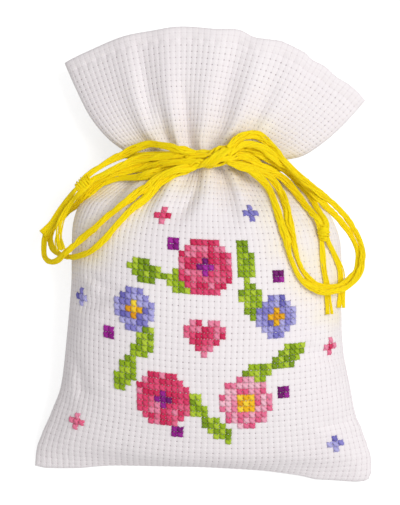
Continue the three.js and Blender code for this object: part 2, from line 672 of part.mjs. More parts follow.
// Routes of the tie's strands, chosen by hand to lie over the cloth and over one another
const looseRoutes = {
  left_loop_inner: [
    [-1.4, 21, 17.4], [-5.9, 19.5, 19.3], [-9.7, 17, 19.4], [-13, 13.7, 20.8], [-16.5, 10.7, 22.4],
    [-19.6, 7.4, 23], [-22.7, 3.9, 22.5], [-26, 1.2, 20.7], [-29.5, 0, 17.6], [-32.4, 0.2, 14],
    [-35.1, 1.5, 10.4], [-36.4, 4.4, 7.2], [-35.8, 6.7, 6], [-32.8, 9.9, 7.2], [-29.9, 12.2, 10.9],
    [-27.8, 14.1, 13.1], [-24.1, 16.9, 13.9], [-19.6, 18.3, 14.8], [-15.2, 18.6, 17.2], [-12.9, 18.9, 18.4],
    [-8.5, 20.4, 17.4], [-4.1, 21.9, 18.3], [-1.4, 22.5, 18.8],
  ],
  left_loop_outer: [
    [-1.4, 20.8, 19.4], [-6, 20.2, 20.6], [-10.2, 18.4, 20.3], [-13.8, 15.5, 20.5], [-17.5, 12.8, 21.6],
    [-21.2, 10, 21.4], [-24.7, 6.9, 20.5], [-28.1, 4.2, 18.6], [-31.4, 1.4, 17.2], [-34.2, -0.9, 14.6],
    [-36.2, -1.1, 12.3], [-37.5, 0.4, 10.5], [-37.4, 4.7, 8.6], [-35, 8.8, 8.6], [-32, 12, 11],
    [-29.3, 14.5, 13.9], [-25.7, 17.5, 14.8], [-21.4, 19.3, 15.4], [-16.8, 20.4, 15.4], [-12.2, 21.2, 16.5],
    [-7.9, 21.8, 18.8], [-1.4, 22.4, 20.5],
  ],
  right_loop_inner: [
    [5.9, 23.7, 20.5], [9.3, 26.1, 18.9], [13.8, 25.5, 18], [17.5, 22.7, 17.6], [20.9, 20.1, 15.5],
    [24.3, 16.8, 15.2], [27.1, 14.1, 15.9], [29.9, 11.3, 13.2], [32.4, 8.7, 9.8], [35, 5.1, 7.8],
    [36.5, 1.1, 9.5], [36, -2.4, 12.8], [33.7, -5.3, 16.7], [30.7, -6.5, 20.1], [26.6, -5.5, 21.7],
    [23.7, -1.8, 22.7], [22.1, 2.4, 23], [20.9, 6.9, 22.3], [19.8, 11, 20.5], [18.6, 14.7, 17.6],
    [16, 18.5, 16.9], [11.9, 20.7, 17.9], [5.8, 22.1, 18.5],
  ],
  right_loop_outer: [
    [5.8, 25.4, 20.7], [8.8, 27.7, 18.8], [13, 28.4, 16.7], [16.9, 25.9, 16.4], [18.9, 23.5, 17.8],
    [22.2, 20.2, 16.8], [25.7, 17.1, 16.6], [27.9, 15.5, 16.4], [30.8, 13.4, 13.1], [33.6, 11, 9.9],
    [36.1, 7.9, 7.5], [38.1, 3.5, 8.3], [38.1, -0.4, 11.3], [37, -3.8, 14.5], [34.6, -6.5, 18],
    [31.2, -7.8, 20.9], [26.6, -7.2, 22.4], [23, -4.3, 23.4], [20.7, -0.3, 23.9], [19.3, 4, 23.8],
    [18, 8.5, 22.9], [16.7, 12.9, 21.1], [14.9, 16.8, 19.4], [11.6, 19.9, 19.4], [5.8, 22, 20.3],
  ],
  left_tail_lower: [
    [-1.4, 24.2, 18.8], [-6, 23.7, 19.3], [-10.3, 23.3, 17.9], [-14.9, 22.8, 16.4], [-19.3, 21.1, 16.7],
    [-23.2, 19.1, 17], [-25.5, 18, 16.8],
  ],
  left_tail_upper: [
    [-1.4, 24.1, 20.5], [-5.5, 25, 20.4], [-8.9, 25.9, 18.9], [-12.9, 26.3, 16.6], [-17, 24.9, 15.2],
    [-20.2, 23.4, 15.2], [-23.3, 21.5, 16], [-26.4, 19.4, 16.6],
  ],
  right_tail_lower: [
    [5.8, 23.7, 18.6], [10.4, 23.2, 17.9], [14.5, 21, 16.7], [18.3, 19, 14.9], [21.6, 15.7, 15],
    [24.1, 12.2, 16.7], [27.2, 7.9, 19.1],
  ],
  right_tail_upper: [
    [5.8, 25.3, 18.8], [10.5, 25.1, 16.8], [14.9, 23.4, 16.8], [18.5, 21.1, 14.8], [21.9, 18.4, 13.1],
    [25, 14.9, 14], [27.3, 10.8, 16.6], [28.8, 8.1, 18.4],
  ],
};
const endRoutes = {
  left_end_long: [
    [-29.5, 15.9, 17.3], [-31.3, 13.9, 14.4], [-33.4, 11.1, 11.7], [-35.6, 7.9, 10.1], [-38.1, 5.5, 9.7],
  ],
  left_end_short: [
    [-28.5, 15.1, 17.3], [-30.8, 12.8, 14.6], [-32.8, 9.9, 12.6], [-33.7, 7.8, 12.4], [-33.7, 4.3, 14.5],
    [-32.9, 1.6, 17.4],
  ],
  right_end_short: [
    [27.8, 4, 19.4], [28.2, -0.2, 19.5], [28.7, -4.3, 19.6], [29.2, -8.5, 19.4], [29.5, -12.7, 19.3],
  ],
  right_end_long: [
    [29.2, 4.1, 18.5], [31.1, 0.2, 16.7], [32.6, -3.4, 15.6], [32.8, -7.7, 15.4], [32.7, -12, 15.7],
  ],
};
const tailKnots = {
  left_tail_knot: { centre: [-27.7, 17.2, 16.7], heading: [-0.75, -0.66, 0] },
  right_tail_knot: { centre: [28.2, 6, 19.15], heading: [0.12, -0.99, 0] },
};

// Strands of the bow knot: three cores along it and two bands over them
const bowCores = [
  [[-0.95, 23.2, 17.9], [2.2, 23.4, 17.9], [5.2, 23.7, 17.9]],
  [[-0.95, 22.1, 19], [2.2, 22.4, 19.2], [5.2, 22.9, 19.1]],
  [[-0.95, 23.6, 19.4], [2.2, 24, 19.4], [5.2, 24.5, 19.5]],
];
const bowBands = [
  [
    [0.9, 21.3, 18.1], [1, 20.9, 19.2], [1.3, 21.8, 20.5], [1.5, 23.3, 20.9], [1.7, 24.8, 20.1],
    [1.8, 25.1, 18.7],
  ],
  [
    [2.6, 21.5, 18.2], [2.7, 21.1, 19.3], [3, 22.1, 20.7], [3.2, 23.6, 21.1], [3.4, 25.2, 20.2],
    [3.5, 25.5, 18.8],
  ],
];

const vectors = (places) => places.map((place) => new THREE.Vector3(...place));
function looseStrand(places, diameter, sides) {
  const points = vectors(places);
  const length = new THREE.CatmullRomCurve3(points, false, 'centripetal').getLength();
  return strand(points, diameter, Math.round(length / (ringSpacingShare * diameter)), sides);
}

// One winding: an ellipse round the neck that sags towards its sides
function winding(shift) {
  const [centreX, centreY, centreZ] = windingCentre;
  const [from, to] = windingOpening.map((x) => Math.acos((x - centreX) / windingHalfWidth));
  const sweep = 2 * Math.PI - (from - to);
  const points = Array.from({ length: windingPoints + 1 }, (_, i) => {
    const angle = to - (sweep * i) / windingPoints;
    const across = windingHalfWidth * Math.cos(angle);
    const y = centreY - windingTilt * across - windingSag * Math.cos(angle) ** 2 + shift;
    return new THREE.Vector3(centreX + across, y, centreZ + windingHalfDepth * Math.sin(angle));
  });
  return strand(points, flossDiameter, windingPoints, tubeSides);
}

// A knot at the end of a tail: a body turned about its own line, with two bulging turns of thread
const tailKnotShares = [
  [0.42, -0.5], [0.86, -0.4], [1, -0.24], [0.84, 0], [1, 0.24], [0.86, 0.4], [0.42, 0.5],
];
const tailKnotSides = 10;
function tailKnotGeometry({ centre, heading }) {
  const direction = new THREE.Vector3(...heading).normalize();
  const turn = new THREE.Quaternion().setFromUnitVectors(new THREE.Vector3(0, 0, 1), direction);
  const points = tailKnotShares.flatMap(([radiusShare, heightShare]) =>
    Array.from({ length: tailKnotSides }, (_, i) => {
      const angle = (2 * Math.PI * i) / tailKnotSides;
      const radius = (radiusShare * tailKnotDiameter) / 2;
      const point = new THREE.Vector3(Math.cos(angle) * radius, Math.sin(angle) * radius);
      point.z = heightShare * tailKnotLength;
      return point.applyQuaternion(turn).add(new THREE.Vector3(...centre));
    }),
  );
  const last = tailKnotShares.length - 1;
  const at = (ring, i) => ring * tailKnotSides + (i % tailKnotSides);
  const faces = [];
  for (let i = 0; i < tailKnotSides; i += 1) {
    for (let ring = 0; ring < last; ring += 1) {
      faces.push([at(ring, i), at(ring, i + 1), at(ring + 1, i + 1)]);
      faces.push([at(ring, i), at(ring + 1, i + 1), at(ring + 1, i)]);
    }
    if (i > 0 && i < tailKnotSides - 1) {
      faces.push([at(0, 0), at(0, i + 1), at(0, i)]);
      faces.push([at(last, 0), at(last, i), at(last, i + 1)]);
    }
  }
  return solidOf(points, faces);
}

// The bow knot: its strands joined into one body
const kernel = await loadManifold();
kernel.setup();
const { Manifold, Mesh } = kernel;
function joined(geometries) {
  const bodies = geometries.map((geometry) => {
    const vertProperties = new Float32Array(geometry.attributes.position.array);
    const triVerts = new Uint32Array(geometry.index.array);
    return new Manifold(new Mesh({ numProp: 3, vertProperties, triVerts }));
  });
  const whole = Manifold.union(bodies).getMesh();
  const geometry = new THREE.BufferGeometry();
  geometry.setAttribute('position', new THREE.Float32BufferAttribute(whole.vertProperties, 3));
  geometry.setIndex([...whole.triVerts]);
  return geometry;
}
function bowKnotGeometry() {
  const cores = bowCores.map((places) => looseStrand(places, bowCoreDiameter, tubeSides));
  const bands = bowBands.map((places) => strand(vectors(places), bowBandDiameter, bowBandRings, tubeSides));
  return joined([...cores, ...bands]);
}

const sachet = new THREE.Group();
function place(parent, name, geometry, material) {
  const mesh = new THREE.Mesh(geometry, material);
  mesh.name = name;
  parent.add(mesh);
  return mesh;
}

// Cloth panels
place(sachet, 'front_panel', panelGeometry(front, frontRows), cottonCloth);
place(sachet, 'back_panel', panelGeometry(back, backRows), cottonCloth);

// Filling
place(sachet, 'potpourri_filling', fillingGeometry(), driedFlowers);

// Sewing threads
place(sachet, 'left_seam_thread', sideThread(-1), sewingCotton);
place(sachet, 'right_seam_thread', sideThread(1), sewingCotton);
place(sachet, 'bottom_seam_thread', bottomThread(), sewingCotton);
place(sachet, 'front_hem_thread', hemThread(front), sewingCotton);
place(sachet, 'back_hem_thread', hemThread(back), sewingCotton);

// Embroidery
const embroidery = new THREE.Group();
sachet.add(embroidery);
stitched.forEach(({ name, material }) => {
  const blocks = [...owner].filter(([, held]) => held === name).map(([key]) => key.split(',').map(Number));
  place(embroidery, name, patchGeometry(blocks), material);
});

// Tie: windings and the bow knot stay on the neck, and each side's loop and tail hang together
place(sachet, 'neck_winding_upper', winding(windingPitch / 2), yellowFloss);
place(sachet, 'neck_winding_lower', winding(-windingPitch / 2), yellowFloss);
place(sachet, 'bow_knot', bowKnotGeometry(), yellowFloss);
const tie = new THREE.Group();
sachet.add(tie);
Object.entries(looseRoutes).forEach(([name, places]) => {
  place(tie, name, looseStrand(places, flossDiameter, tubeSides), yellowFloss);
});
Object.entries(tailKnots).forEach(([name, knot]) => {
  place(tie, name, tailKnotGeometry(knot), yellowFloss);
});
Object.entries(endRoutes).forEach(([name, places]) => {
  place(tie, name, looseStrand(places, endDiameter, endSides), yellowFloss);
});

export default sachet;
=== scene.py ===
"""Potpourri sachet: a stuffed bag of even-weave cloth, embroidered in crossed stitches, with a floss bow.

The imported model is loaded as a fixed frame, and each of its soft solids is replaced by a finer piece in the
same place: woven panels, crossed stitches, twisted floss, sewing threads and a filling of dried flowers.
Metres; +X runs across the sachet, +Y from its bottom seam to the frill, +Z out of its embroidered front.
"""

import logging
import math
from collections.abc import Sequence
from dataclasses import dataclass, field
from enum import Enum

import bpy
import numpy as np
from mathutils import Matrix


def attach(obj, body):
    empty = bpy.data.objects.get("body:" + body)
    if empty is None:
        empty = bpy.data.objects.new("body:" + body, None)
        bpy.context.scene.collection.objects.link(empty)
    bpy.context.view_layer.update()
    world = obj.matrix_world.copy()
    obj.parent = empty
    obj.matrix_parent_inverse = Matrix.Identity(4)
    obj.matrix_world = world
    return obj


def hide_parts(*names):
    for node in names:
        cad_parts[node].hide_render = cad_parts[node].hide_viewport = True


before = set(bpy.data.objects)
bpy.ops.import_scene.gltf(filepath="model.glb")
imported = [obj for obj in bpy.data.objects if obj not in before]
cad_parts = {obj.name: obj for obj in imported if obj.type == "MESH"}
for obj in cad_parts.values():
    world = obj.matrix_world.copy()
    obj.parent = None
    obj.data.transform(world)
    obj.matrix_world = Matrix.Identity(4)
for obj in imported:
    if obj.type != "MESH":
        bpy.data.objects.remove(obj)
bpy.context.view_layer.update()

TURN = 2 * math.pi
TENTHS_PER_METRE = 10000
WHITE = (1, 1, 1, 1)
Array = np.ndarray
Colour = tuple[float, float, float]
Point = tuple[float, float, float]
log = logging.getLogger("sachet")


# Shader graphs


class Wire:
    """An output socket of a shader node that takes part in arithmetic."""

    def __init__(self, graph: "Graph", socket: bpy.types.NodeSocket) -> None:
        """Keep the graph and the socket."""
        self.graph = graph
        self.socket = socket

    def port(self, output: int | str) -> "Wire":
        """Another output of the same node."""
        return Wire(self.graph, self.socket.node.outputs[output])

    def math(self, operation: str, *values: "Wire | float") -> "Wire":
        """A Math node that takes this value first."""
        return self.graph.node("ShaderNodeMath", {"operation": operation}, dict(enumerate((self, *values))))

    def __add__(self, other: "Wire | float") -> "Wire":
        """Sum."""
        return self.math("ADD", other)

    def __sub__(self, other: "Wire | float") -> "Wire":
        """Difference."""
        return self.math("SUBTRACT", other)

    def __rsub__(self, other: float) -> "Wire":
        """Difference from a number."""
        return (self * -1.0).math("ADD", other)

    def __mul__(self, other: "Wire | float") -> "Wire":
        """Product."""
        return self.math("MULTIPLY", other)

    __radd__ = __add__
    __rmul__ = __mul__


class Graph:
    """The node tree of a material or a world, built from values and links."""

    def __init__(self, owner: "bpy.types.Material | bpy.types.World") -> None:
        """Empty the owner's node tree."""
        self.owner = owner
        owner.use_nodes = True
        self.tree = owner.node_tree
        self.tree.nodes.clear()

    def node(
        self,
        kind: str,
        settings: dict[str, object] | None = None,
        sockets: dict[int | str, object] | None = None,
        output: int = 0,
    ) -> Wire | None:
        """Add a node.

        Args:
            kind: The node's type name.
            settings: Its own settings, made first; "stops" are a ramp's places and colours.
            sockets: Values or wires for its input sockets.
            output: Which output to return.

        Returns:
            That output as a wire, or None from a node that has no output.
        """
        made = self.tree.nodes.new(kind)
        for key, value in (settings or {}).items():
            if key == "stops":
                self._set_stops(made.color_ramp, value)
            else:
                setattr(made, key, value)
        for key, value in (sockets or {}).items():
            if isinstance(value, Wire):
                self.tree.links.new(value.socket, made.inputs[key])
            else:
                made.inputs[key].default_value = value
        return Wire(self, made.outputs[output]) if made.outputs else None

    @staticmethod
    def _set_stops(ramp: bpy.types.ColorRamp, stops: Sequence[tuple[float, Colour]]) -> None:
        """Give a ramp its places and colours."""
        while len(ramp.elements) < len(stops):
            ramp.elements.new(0.5)
        for element, (place, colour) in zip(ramp.elements, stops):
            element.position = place
            element.color = (*colour, 1.0)

    def uv(self, name: str) -> tuple[Wire, Wire, Wire]:
        """A UV map's vector and its two parts."""
        vector = self.node("ShaderNodeUVMap", {"uv_map": name})
        parts = self.node("ShaderNodeSeparateXYZ", {}, {0: vector})
        return vector, parts, parts.port(1)

    def number(self, name: str) -> Wire:
        """A number kept on the mesh's points."""
        return self.node("ShaderNodeAttribute", {"attribute_name": name}, {}, 2)

    def place(self) -> Wire:
        """The point's place in the object."""
        return self.node("ShaderNodeTexCoord", {}, {}, 3)

    def join(self, x: Wire | float, y: Wire | float, z: Wire | float = 0.0) -> Wire:
        """A vector from three values."""
        return self.node("ShaderNodeCombineXYZ", {}, {0: x, 1: y, 2: z})

    def noise(self, vector: Wire, scale: float, detail: float = 2.0, roughness: float = 0.5) -> Wire:
        """Smooth noise from 0 to 1."""
        sockets = {"Vector": vector, "Scale": scale, "Detail": detail, "Roughness": roughness}
        return self.node("ShaderNodeTexNoise", {}, sockets)

    def step(self, value: Wire, low: float, high: float) -> Wire:
        """A smooth step that rises from 0 at low to 1 at high."""
        settings = {"interpolation_type": "SMOOTHSTEP"}
        return self.node("ShaderNodeMapRange", settings, {0: value, 1: low, 2: high})

    def mix(self, factor: Wire | float, low: Wire | Colour, high: Wire | Colour) -> Wire:
        """A blend of two colours."""
        both = {6: self._colour(low), 7: self._colour(high)}
        return self.node("ShaderNodeMix", {"data_type": "RGBA"}, {0: factor, **both}, 2)

    @staticmethod
    def _colour(value: Wire | Colour) -> "Wire | tuple[float, ...]":
        """A colour with its alpha, or the wire as it is."""
        return value if isinstance(value, Wire) else (*value, 1.0)

    def ramp(self, value: Wire, stops: Sequence[tuple[float, Colour]]) -> Wire:
        """Colours along a value."""
        return self.node("ShaderNodeValToRGB", {"stops": stops}, {0: value})

    def bump(self, height: Wire, distance: float, strength: float = 1.0) -> Wire:
        """A normal that follows a height."""
        sockets = {"Height": height, "Distance": distance, "Strength": strength}
        return self.node("ShaderNodeBump", {}, sockets)

    def surface(
        self, colour: Wire, roughness: Wire | float, normal: Wire, **constants: float
    ) -> bpy.types.Material:
        """Finish the material with a shader.

        Args:
            colour: The base colour.
            roughness: How rough it is.
            normal: The bumped normal.
            constants: Plain values of further sockets, with _ for each space in their names.

        Returns:
            The finished material.
        """
        sockets = {"Base Color": colour, "Roughness": roughness, "Normal": normal}
        sockets.update({key.replace("_", " "): value for key, value in constants.items()})
        shader = self.node("ShaderNodeBsdfPrincipled", {}, sockets)
        self.node("ShaderNodeOutputMaterial", {}, {0: shader})
        return self.owner


def linear(red: int, green: int, blue: int) -> Colour:
    """A display colour of 0 to 255 as linear light, by the standard display curve."""
    shares = np.array((red, green, blue)) / 255
    curved = ((shares + 0.055) / 1.055) ** 2.4
    return tuple(np.where(shares <= 0.04045, shares / 12.92, curved).tolist())


@dataclass(frozen=True)
class ClothFinish:
    """Matte even-weave cotton: blocks of threads with a small hole at each corner.

    Lengths are in blocks. The shaded sides are the body's sides, which get painted shade: darker grooves and
    streaks between the columns, and fainter holes; the shoulders are the rows over which that ends.
    """

    hem_row: float
    middle_column: float
    lit: Colour = linear(251, 246, 247)
    shaded: Colour = linear(243, 235, 238)
    # Painted shade in the grooves between the threads' columns and rows
    groove: Colour = linear(222, 211, 215)
    # Painted shade seen down the holes at the blocks' corners
    hole: Colour = linear(170, 156, 160)
    # Painted yellow bounce light from the floss
    bounce_cream: Colour = linear(250, 240, 216)
    threads_per_block: int = 4
    hem_blur: float = 0.1
    hole_radii: tuple[float, float] = (0.05, 0.15)
    column_groove: float = 0.17
    row_groove: float = 0.13
    # Columns from the middle over which painted shade on the body's sides grows
    shaded_sides: tuple[float, float] = (13.0, 26.0)
    shoulders: tuple[float, float] = (48.0, 56.0)
    relief: float = 0.00005

    def build(self) -> bpy.types.Material:
        """Make the material: painted shade in the holes and grooves from the weave's own coordinates, painted
        yellow bounce light near the floss.
        """
        graph = Graph(bpy.data.materials.new("cotton_cloth"))
        vector, across, along = graph.uv("Weave")
        from_column = (across + 0.5).math("FRACT") - 0.5
        from_row = (along + 0.5).math("FRACT") - 0.5
        from_corner = (from_column * from_column + from_row * from_row).math("SQRT")
        hem = graph.step(along, self.hem_row - self.hem_blur, self.hem_row + self.hem_blur)
        corner = graph.join((across + 0.5).math("FLOOR"), (along + 0.5).math("FLOOR"))
        chance = graph.node("ShaderNodeTexWhiteNoise", {"noise_dimensions": "2D"}, {0: corner})
        region = graph.step(graph.noise(vector, 0.14, 2.0), 0.3, 0.7)
        openness = chance * 0.55 + region * 0.35 + 0.15
        hole = (1.0 - graph.step(from_corner, *self.hole_radii)) * openness * (1.0 - hem * 0.75)
        # Painted shade on the body's sides: deeper grooves and streaks, fainter holes, gone above the
        # shoulders
        side_shade = graph.step((across - self.middle_column).math("ABSOLUTE"), *self.shaded_sides)
        side_shade = side_shade * (1.0 - graph.step(along, *self.shoulders))
        hole = hole * (1.0 - side_shade * 0.45)
        # Painted shade between columns and rows; the same grooves also sink the bump
        between_columns = 1.0 - graph.step(from_column.math("ABSOLUTE"), 0.0, self.column_groove)
        between_columns = between_columns * (side_shade * 0.7 + 1.0)
        between_rows = 1.0 - graph.step(from_row.math("ABSOLUTE"), 0.0, self.row_groove)
        grooves = between_columns * 0.5 + between_rows * 0.3
        half_turns = self.threads_per_block * math.pi
        over = (across * half_turns).math("SINE") * (along * half_turns).math("SINE")
        slub = graph.noise(graph.join(across * 0.35, along * 3.0), 1.0, 3.0)
        streak = graph.noise(graph.join(across * 2.3, along * 0.3), 1.0, 3.0, 0.7) - 0.5
        patchy = graph.noise(vector, 0.11, 3.0, 0.55)
        fuzz = graph.noise(vector, 9.0, 2.0, 0.7)
        base = graph.mix(patchy, self.lit, self.shaded)
        # Painted shade in the grooves and, strongest on the sides, in streaks; slub is the threads' own
        # uneven tone
        shade_and_slub = grooves * 0.5 + (slub - 0.5) * 0.25 + streak * (side_shade * 0.9 + 0.15)
        base = graph.mix(shade_and_slub, base, self.groove)
        # Painted bounce light: the floss's yellow laid on the cloth near its strands
        base = graph.mix(graph.number("PaintedBounce") * 0.8, base, self.bounce_cream)
        # Painted shade in the holes
        base = graph.mix(hole, base, self.hole)
        height = over * 0.3 + fuzz * 0.45 - hole * 1.2 - grooves * 0.5 - streak * (side_shade * 1.4 + 0.3)
        normal = graph.bump(height, self.relief)
        return graph.surface(
            base, 0.92, normal, Sheen_Weight=0.12, Sheen_Roughness=0.5, Specular_IOR_Level=0.25
        )


@dataclass(frozen=True)
class FlossFinish:
    """Stranded cotton with a soft sheen and fine twisted fibres.

    The fibres' and the clouds' scales are noise cells round a ply and along a metre of it.
    """

    name: str
    bright: Colour
    deep: Colour
    fibres: tuple[float, float] = (9.0, 260.0)
    fibre_twist: float = 1400.0
    clouds: tuple[float, float] = (0.6, 180.0)
    roughness: float = 0.55
    relief: float = 0.00006

    def build(self) -> bpy.types.Material:
        """Make the material: fibres run along each ply, and each ply has its own tone."""
        graph = Graph(bpy.data.materials.new(self.name))
        _, around, along = graph.uv("Ply")
        turned = around * self.fibres[0] + along * self.fibre_twist
        fibre = graph.noise(graph.join(turned, along * self.fibres[1]), 1.0, 3.0, 0.6)
        cloudy = graph.noise(graph.join(around * self.clouds[0], along * self.clouds[1]), 1.0, 2.0)
        tone = graph.number("Tone")
        share = fibre * 0.4 + cloudy * 0.3 + tone * 0.4
        colour = graph.mix(graph.step(share, 0.15, 0.95), self.bright, self.deep)
        rough = self.roughness + fibre * 0.2
        normal = graph.bump(fibre, self.relief)
        return graph.surface(
            colour, rough, normal, Sheen_Weight=0.04, Sheen_Roughness=0.35, Specular_IOR_Level=0.22
        )


@dataclass(frozen=True)
class StitchFinish:
    """Embroidery cotton of one colour in three near shades, chosen stitch by stitch."""

    name: str
    deep: Colour
    middle: Colour
    pale: Colour
    fibres: tuple[float, float] = (14.0, 3.0)
    roughness: float = 0.42
    relief: float = 0.00007

    def build(self) -> bpy.types.Material:
        """Make the material: the stitch's tone picks its shade, and fibres run along its legs."""
        graph = Graph(bpy.data.materials.new(self.name))
        _, around, along = graph.uv("Ply")
        fibre = graph.noise(graph.join(around * self.fibres[0], along * self.fibres[1]), 1.0, 3.0, 0.6)
        tone = graph.number("Tone") + (fibre - 0.5) * 0.22
        colour = graph.ramp(tone, ((0.12, self.deep), (0.5, self.middle), (0.88, self.pale)))
        rough = self.roughness + fibre * 0.25
        normal = graph.bump(fibre, self.relief)
        return graph.surface(
            colour, rough, normal, Sheen_Weight=0.04, Sheen_Roughness=0.35, Specular_IOR_Level=0.28
        )


@dataclass(frozen=True)
class DriedFinish:
    """Dried flowers: rose, violet, straw and leaf tones in crumpled scraps."""

    name: str
    scraps_per_metre: float
    veins_per_scrap: float = 5
    relief: float = 0.0004

    def build(self) -> bpy.types.Material:
        """Make the material: noise picks the scrap's colour and veins raise it."""
        graph = Graph(bpy.data.materials.new(self.name))
        place = graph.place()
        scraps = {"Vector": place, "Scale": self.scraps_per_metre}
        cell = graph.node("ShaderNodeTexVoronoi", {}, scraps, 1)
        parts = graph.node("ShaderNodeSeparateXYZ", {}, {0: cell})
        veins = graph.noise(place, self.scraps_per_metre * self.veins_per_scrap, 4.0, 0.7)
        stops = (
            (0.1, linear(116, 58, 64)),
            (0.35, linear(150, 96, 84)),
            (0.55, linear(126, 104, 138)),
            (0.75, linear(176, 146, 96)),
            (0.92, linear(112, 116, 70)),
        )
        colour = graph.mix(veins * 0.5, graph.ramp(parts, stops), linear(74, 48, 40))
        return graph.surface(colour, 0.95, graph.bump(veins, self.relief), Specular_IOR_Level=0.15)


# Meshes


def mesh_piece(
    name: str,
    points: Array,
    polygons: Sequence[Array],
    material: bpy.types.Material | None,
    uv: tuple[str, Array] | None = None,
    numbers: dict[str, Array] | None = None,
) -> bpy.types.Object:
    """Put whole arrays into a new mesh object.

    Args:
        name: The piece's name.
        points: Places of the points, in metres.
        polygons: Arrays of point indices with a row for each polygon; each array has its own corner count.
        material: The piece's finish, or None for a shell that is not kept.
        uv: A UV map's name and a coordinate for each point.
        numbers: Further numbers for each point, by name.

    Returns:
        The new object, smooth shaded, at the origin.
    """
    mesh = bpy.data.meshes.new(name)
    corners = np.concatenate([p.ravel() for p in polygons]).astype(np.int32)
    counts = np.concatenate([np.full(len(p), p.shape[1]) for p in polygons])
    mesh.vertices.add(len(points))
    mesh.vertices.foreach_set("co", np.asarray(points, np.float32).ravel())
    mesh.loops.add(len(corners))
    mesh.loops.foreach_set("vertex_index", corners)
    mesh.polygons.add(len(counts))
    mesh.polygons.foreach_set("loop_start", np.concatenate(([0], np.cumsum(counts)[:-1])).astype(np.int32))
    mesh.polygons.foreach_set("use_smooth", np.ones(len(counts), bool))
    if uv is not None:
        layer = mesh.uv_layers.new(name=uv[0])
        layer.data.foreach_set("uv", np.asarray(uv[1], np.float32)[corners].ravel())
    for key, values in (numbers or {}).items():
        attribute = mesh.attributes.new(key, "FLOAT", "POINT")
        attribute.data.foreach_set("value", np.asarray(values, np.float32))
    mesh.update(calc_edges=True)
    mesh.validate()
    if material is not None:
        mesh.materials.append(material)
    piece = bpy.data.objects.new(name, mesh)
    bpy.context.scene.collection.objects.link(piece)
    return piece


def fit_piece(piece: bpy.types.Object, body: str, slot: str, *nodes: str) -> bpy.types.Object:
    """Let a piece ride on a body and stand in for CAD nodes, if any."""
    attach(piece, body)
    if nodes:
        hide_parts(*nodes)
    return piece


def grid_quads(rows: int, columns: int, start: int = 0) -> Array:
    """Quads of a grid of points, turned to face the reader when rows go up and columns go right."""
    corner = (start + np.arange(rows - 1)[:, None] * columns + np.arange(columns - 1)).ravel()
    return np.stack((corner, corner + 1, corner + columns + 1, corner + columns), 1)


def gentle_noise(at: Array, wavelength: float, seed: int, waves: int = 14) -> Array:
    """A sum of sines with random headings: about -1 to 1 over points in the last axis of at."""
    random = np.random.default_rng(seed)
    headings = random.normal(size=(waves, at.shape[-1]))
    headings *= TURN / wavelength / np.linalg.norm(headings, axis=1, keepdims=True)
    headings *= random.uniform(0.6, 1.5, (waves, 1))
    phases = random.uniform(0, TURN, waves)
    return np.sin(at @ headings.T + phases).sum(-1) / waves**0.5


def unit(vectors: Array) -> Array:
    """Vectors of length one."""
    return vectors / np.maximum(np.linalg.norm(vectors, axis=-1, keepdims=True), 1e-12)


# Cloth


@dataclass(frozen=True)
class SmoothLine:
    """A smooth line through values at stations, with no overshoot between them."""

    stations: tuple[float, ...]
    values: tuple[float, ...]

    def __call__(self, at: Array) -> Array:
        """Cubic pieces whose slope at a station is the harmonic mean of its two chords' slopes."""
        x, y = np.asarray(self.stations), np.asarray(self.values)
        chord = np.diff(y) / np.diff(x)
        before, after = chord[:-1], chord[1:]
        level = np.zeros_like(before)
        harmonic = np.divide(2 * before * after, before + after, out=level, where=before * after > 0)
        slope = np.concatenate((chord[:1], harmonic, chord[-1:]))
        inside = np.clip(at, x[0], x[-1])
        i = np.clip(np.searchsorted(x, inside, side="right") - 1, 0, len(x) - 2)
        span = x[i + 1] - x[i]
        s = (inside - x[i]) / span
        rise = s * s * (3 - 2 * s)
        leave = slope[i] * s * (1 - s) ** 2 * span
        arrive = slope[i + 1] * s * s * (s - 1) * span
        return y[i] * (1 - rise) + y[i + 1] * rise + leave + arrive


def edge_line(places: tuple[float, ...], reach: tuple[float, ...]) -> SmoothLine:
    """How far an edge of the cloth lies beyond its plain curve, written in tenths of a millimetre."""
    return SmoothLine(places, tuple(tenths / TENTHS_PER_METRE for tenths in reach))


@dataclass(frozen=True)
class Fold:
    """A crease along a line on the cloth; a negative depth makes a ridge."""

    line: tuple[tuple[float, float], ...]
    depth: float
    width: float

    def press(self, place: Array) -> Array:
        """The press into the cloth: the most, over its samples, of depth * fade * exp(-(gap / width)^2).

        Args:
            place: Places on the cloth, in blocks.

        Returns:
            Depths in metres; the fade is 1 - (2 * share - 1)^2 over the line's share.
        """
        line = smooth_route([(*at, 0.0) for at in self.line], 0.4)[:, :2]
        gap = ((place[..., None, :] - line) ** 2).sum(-1)
        fade = 1 - np.linspace(-1, 1, len(line)) ** 2
        return self.depth * (fade * np.exp(-gap / self.width**2)).max(-1)


class Side(Enum):
    """Which panel of cloth it is: its outer face looks up or down."""

    FRONT = 1
    BACK = -1


# Stations along the cloth, as shares of its length from the bottom seam to the hem
STATIONS = (0, 0.05, 0.11, 0.18, 0.28, 0.4, 0.5, 0.56, 0.62, 0.67, 0.7, 0.714, 0.75, 0.8, 0.87, 0.94, 1)

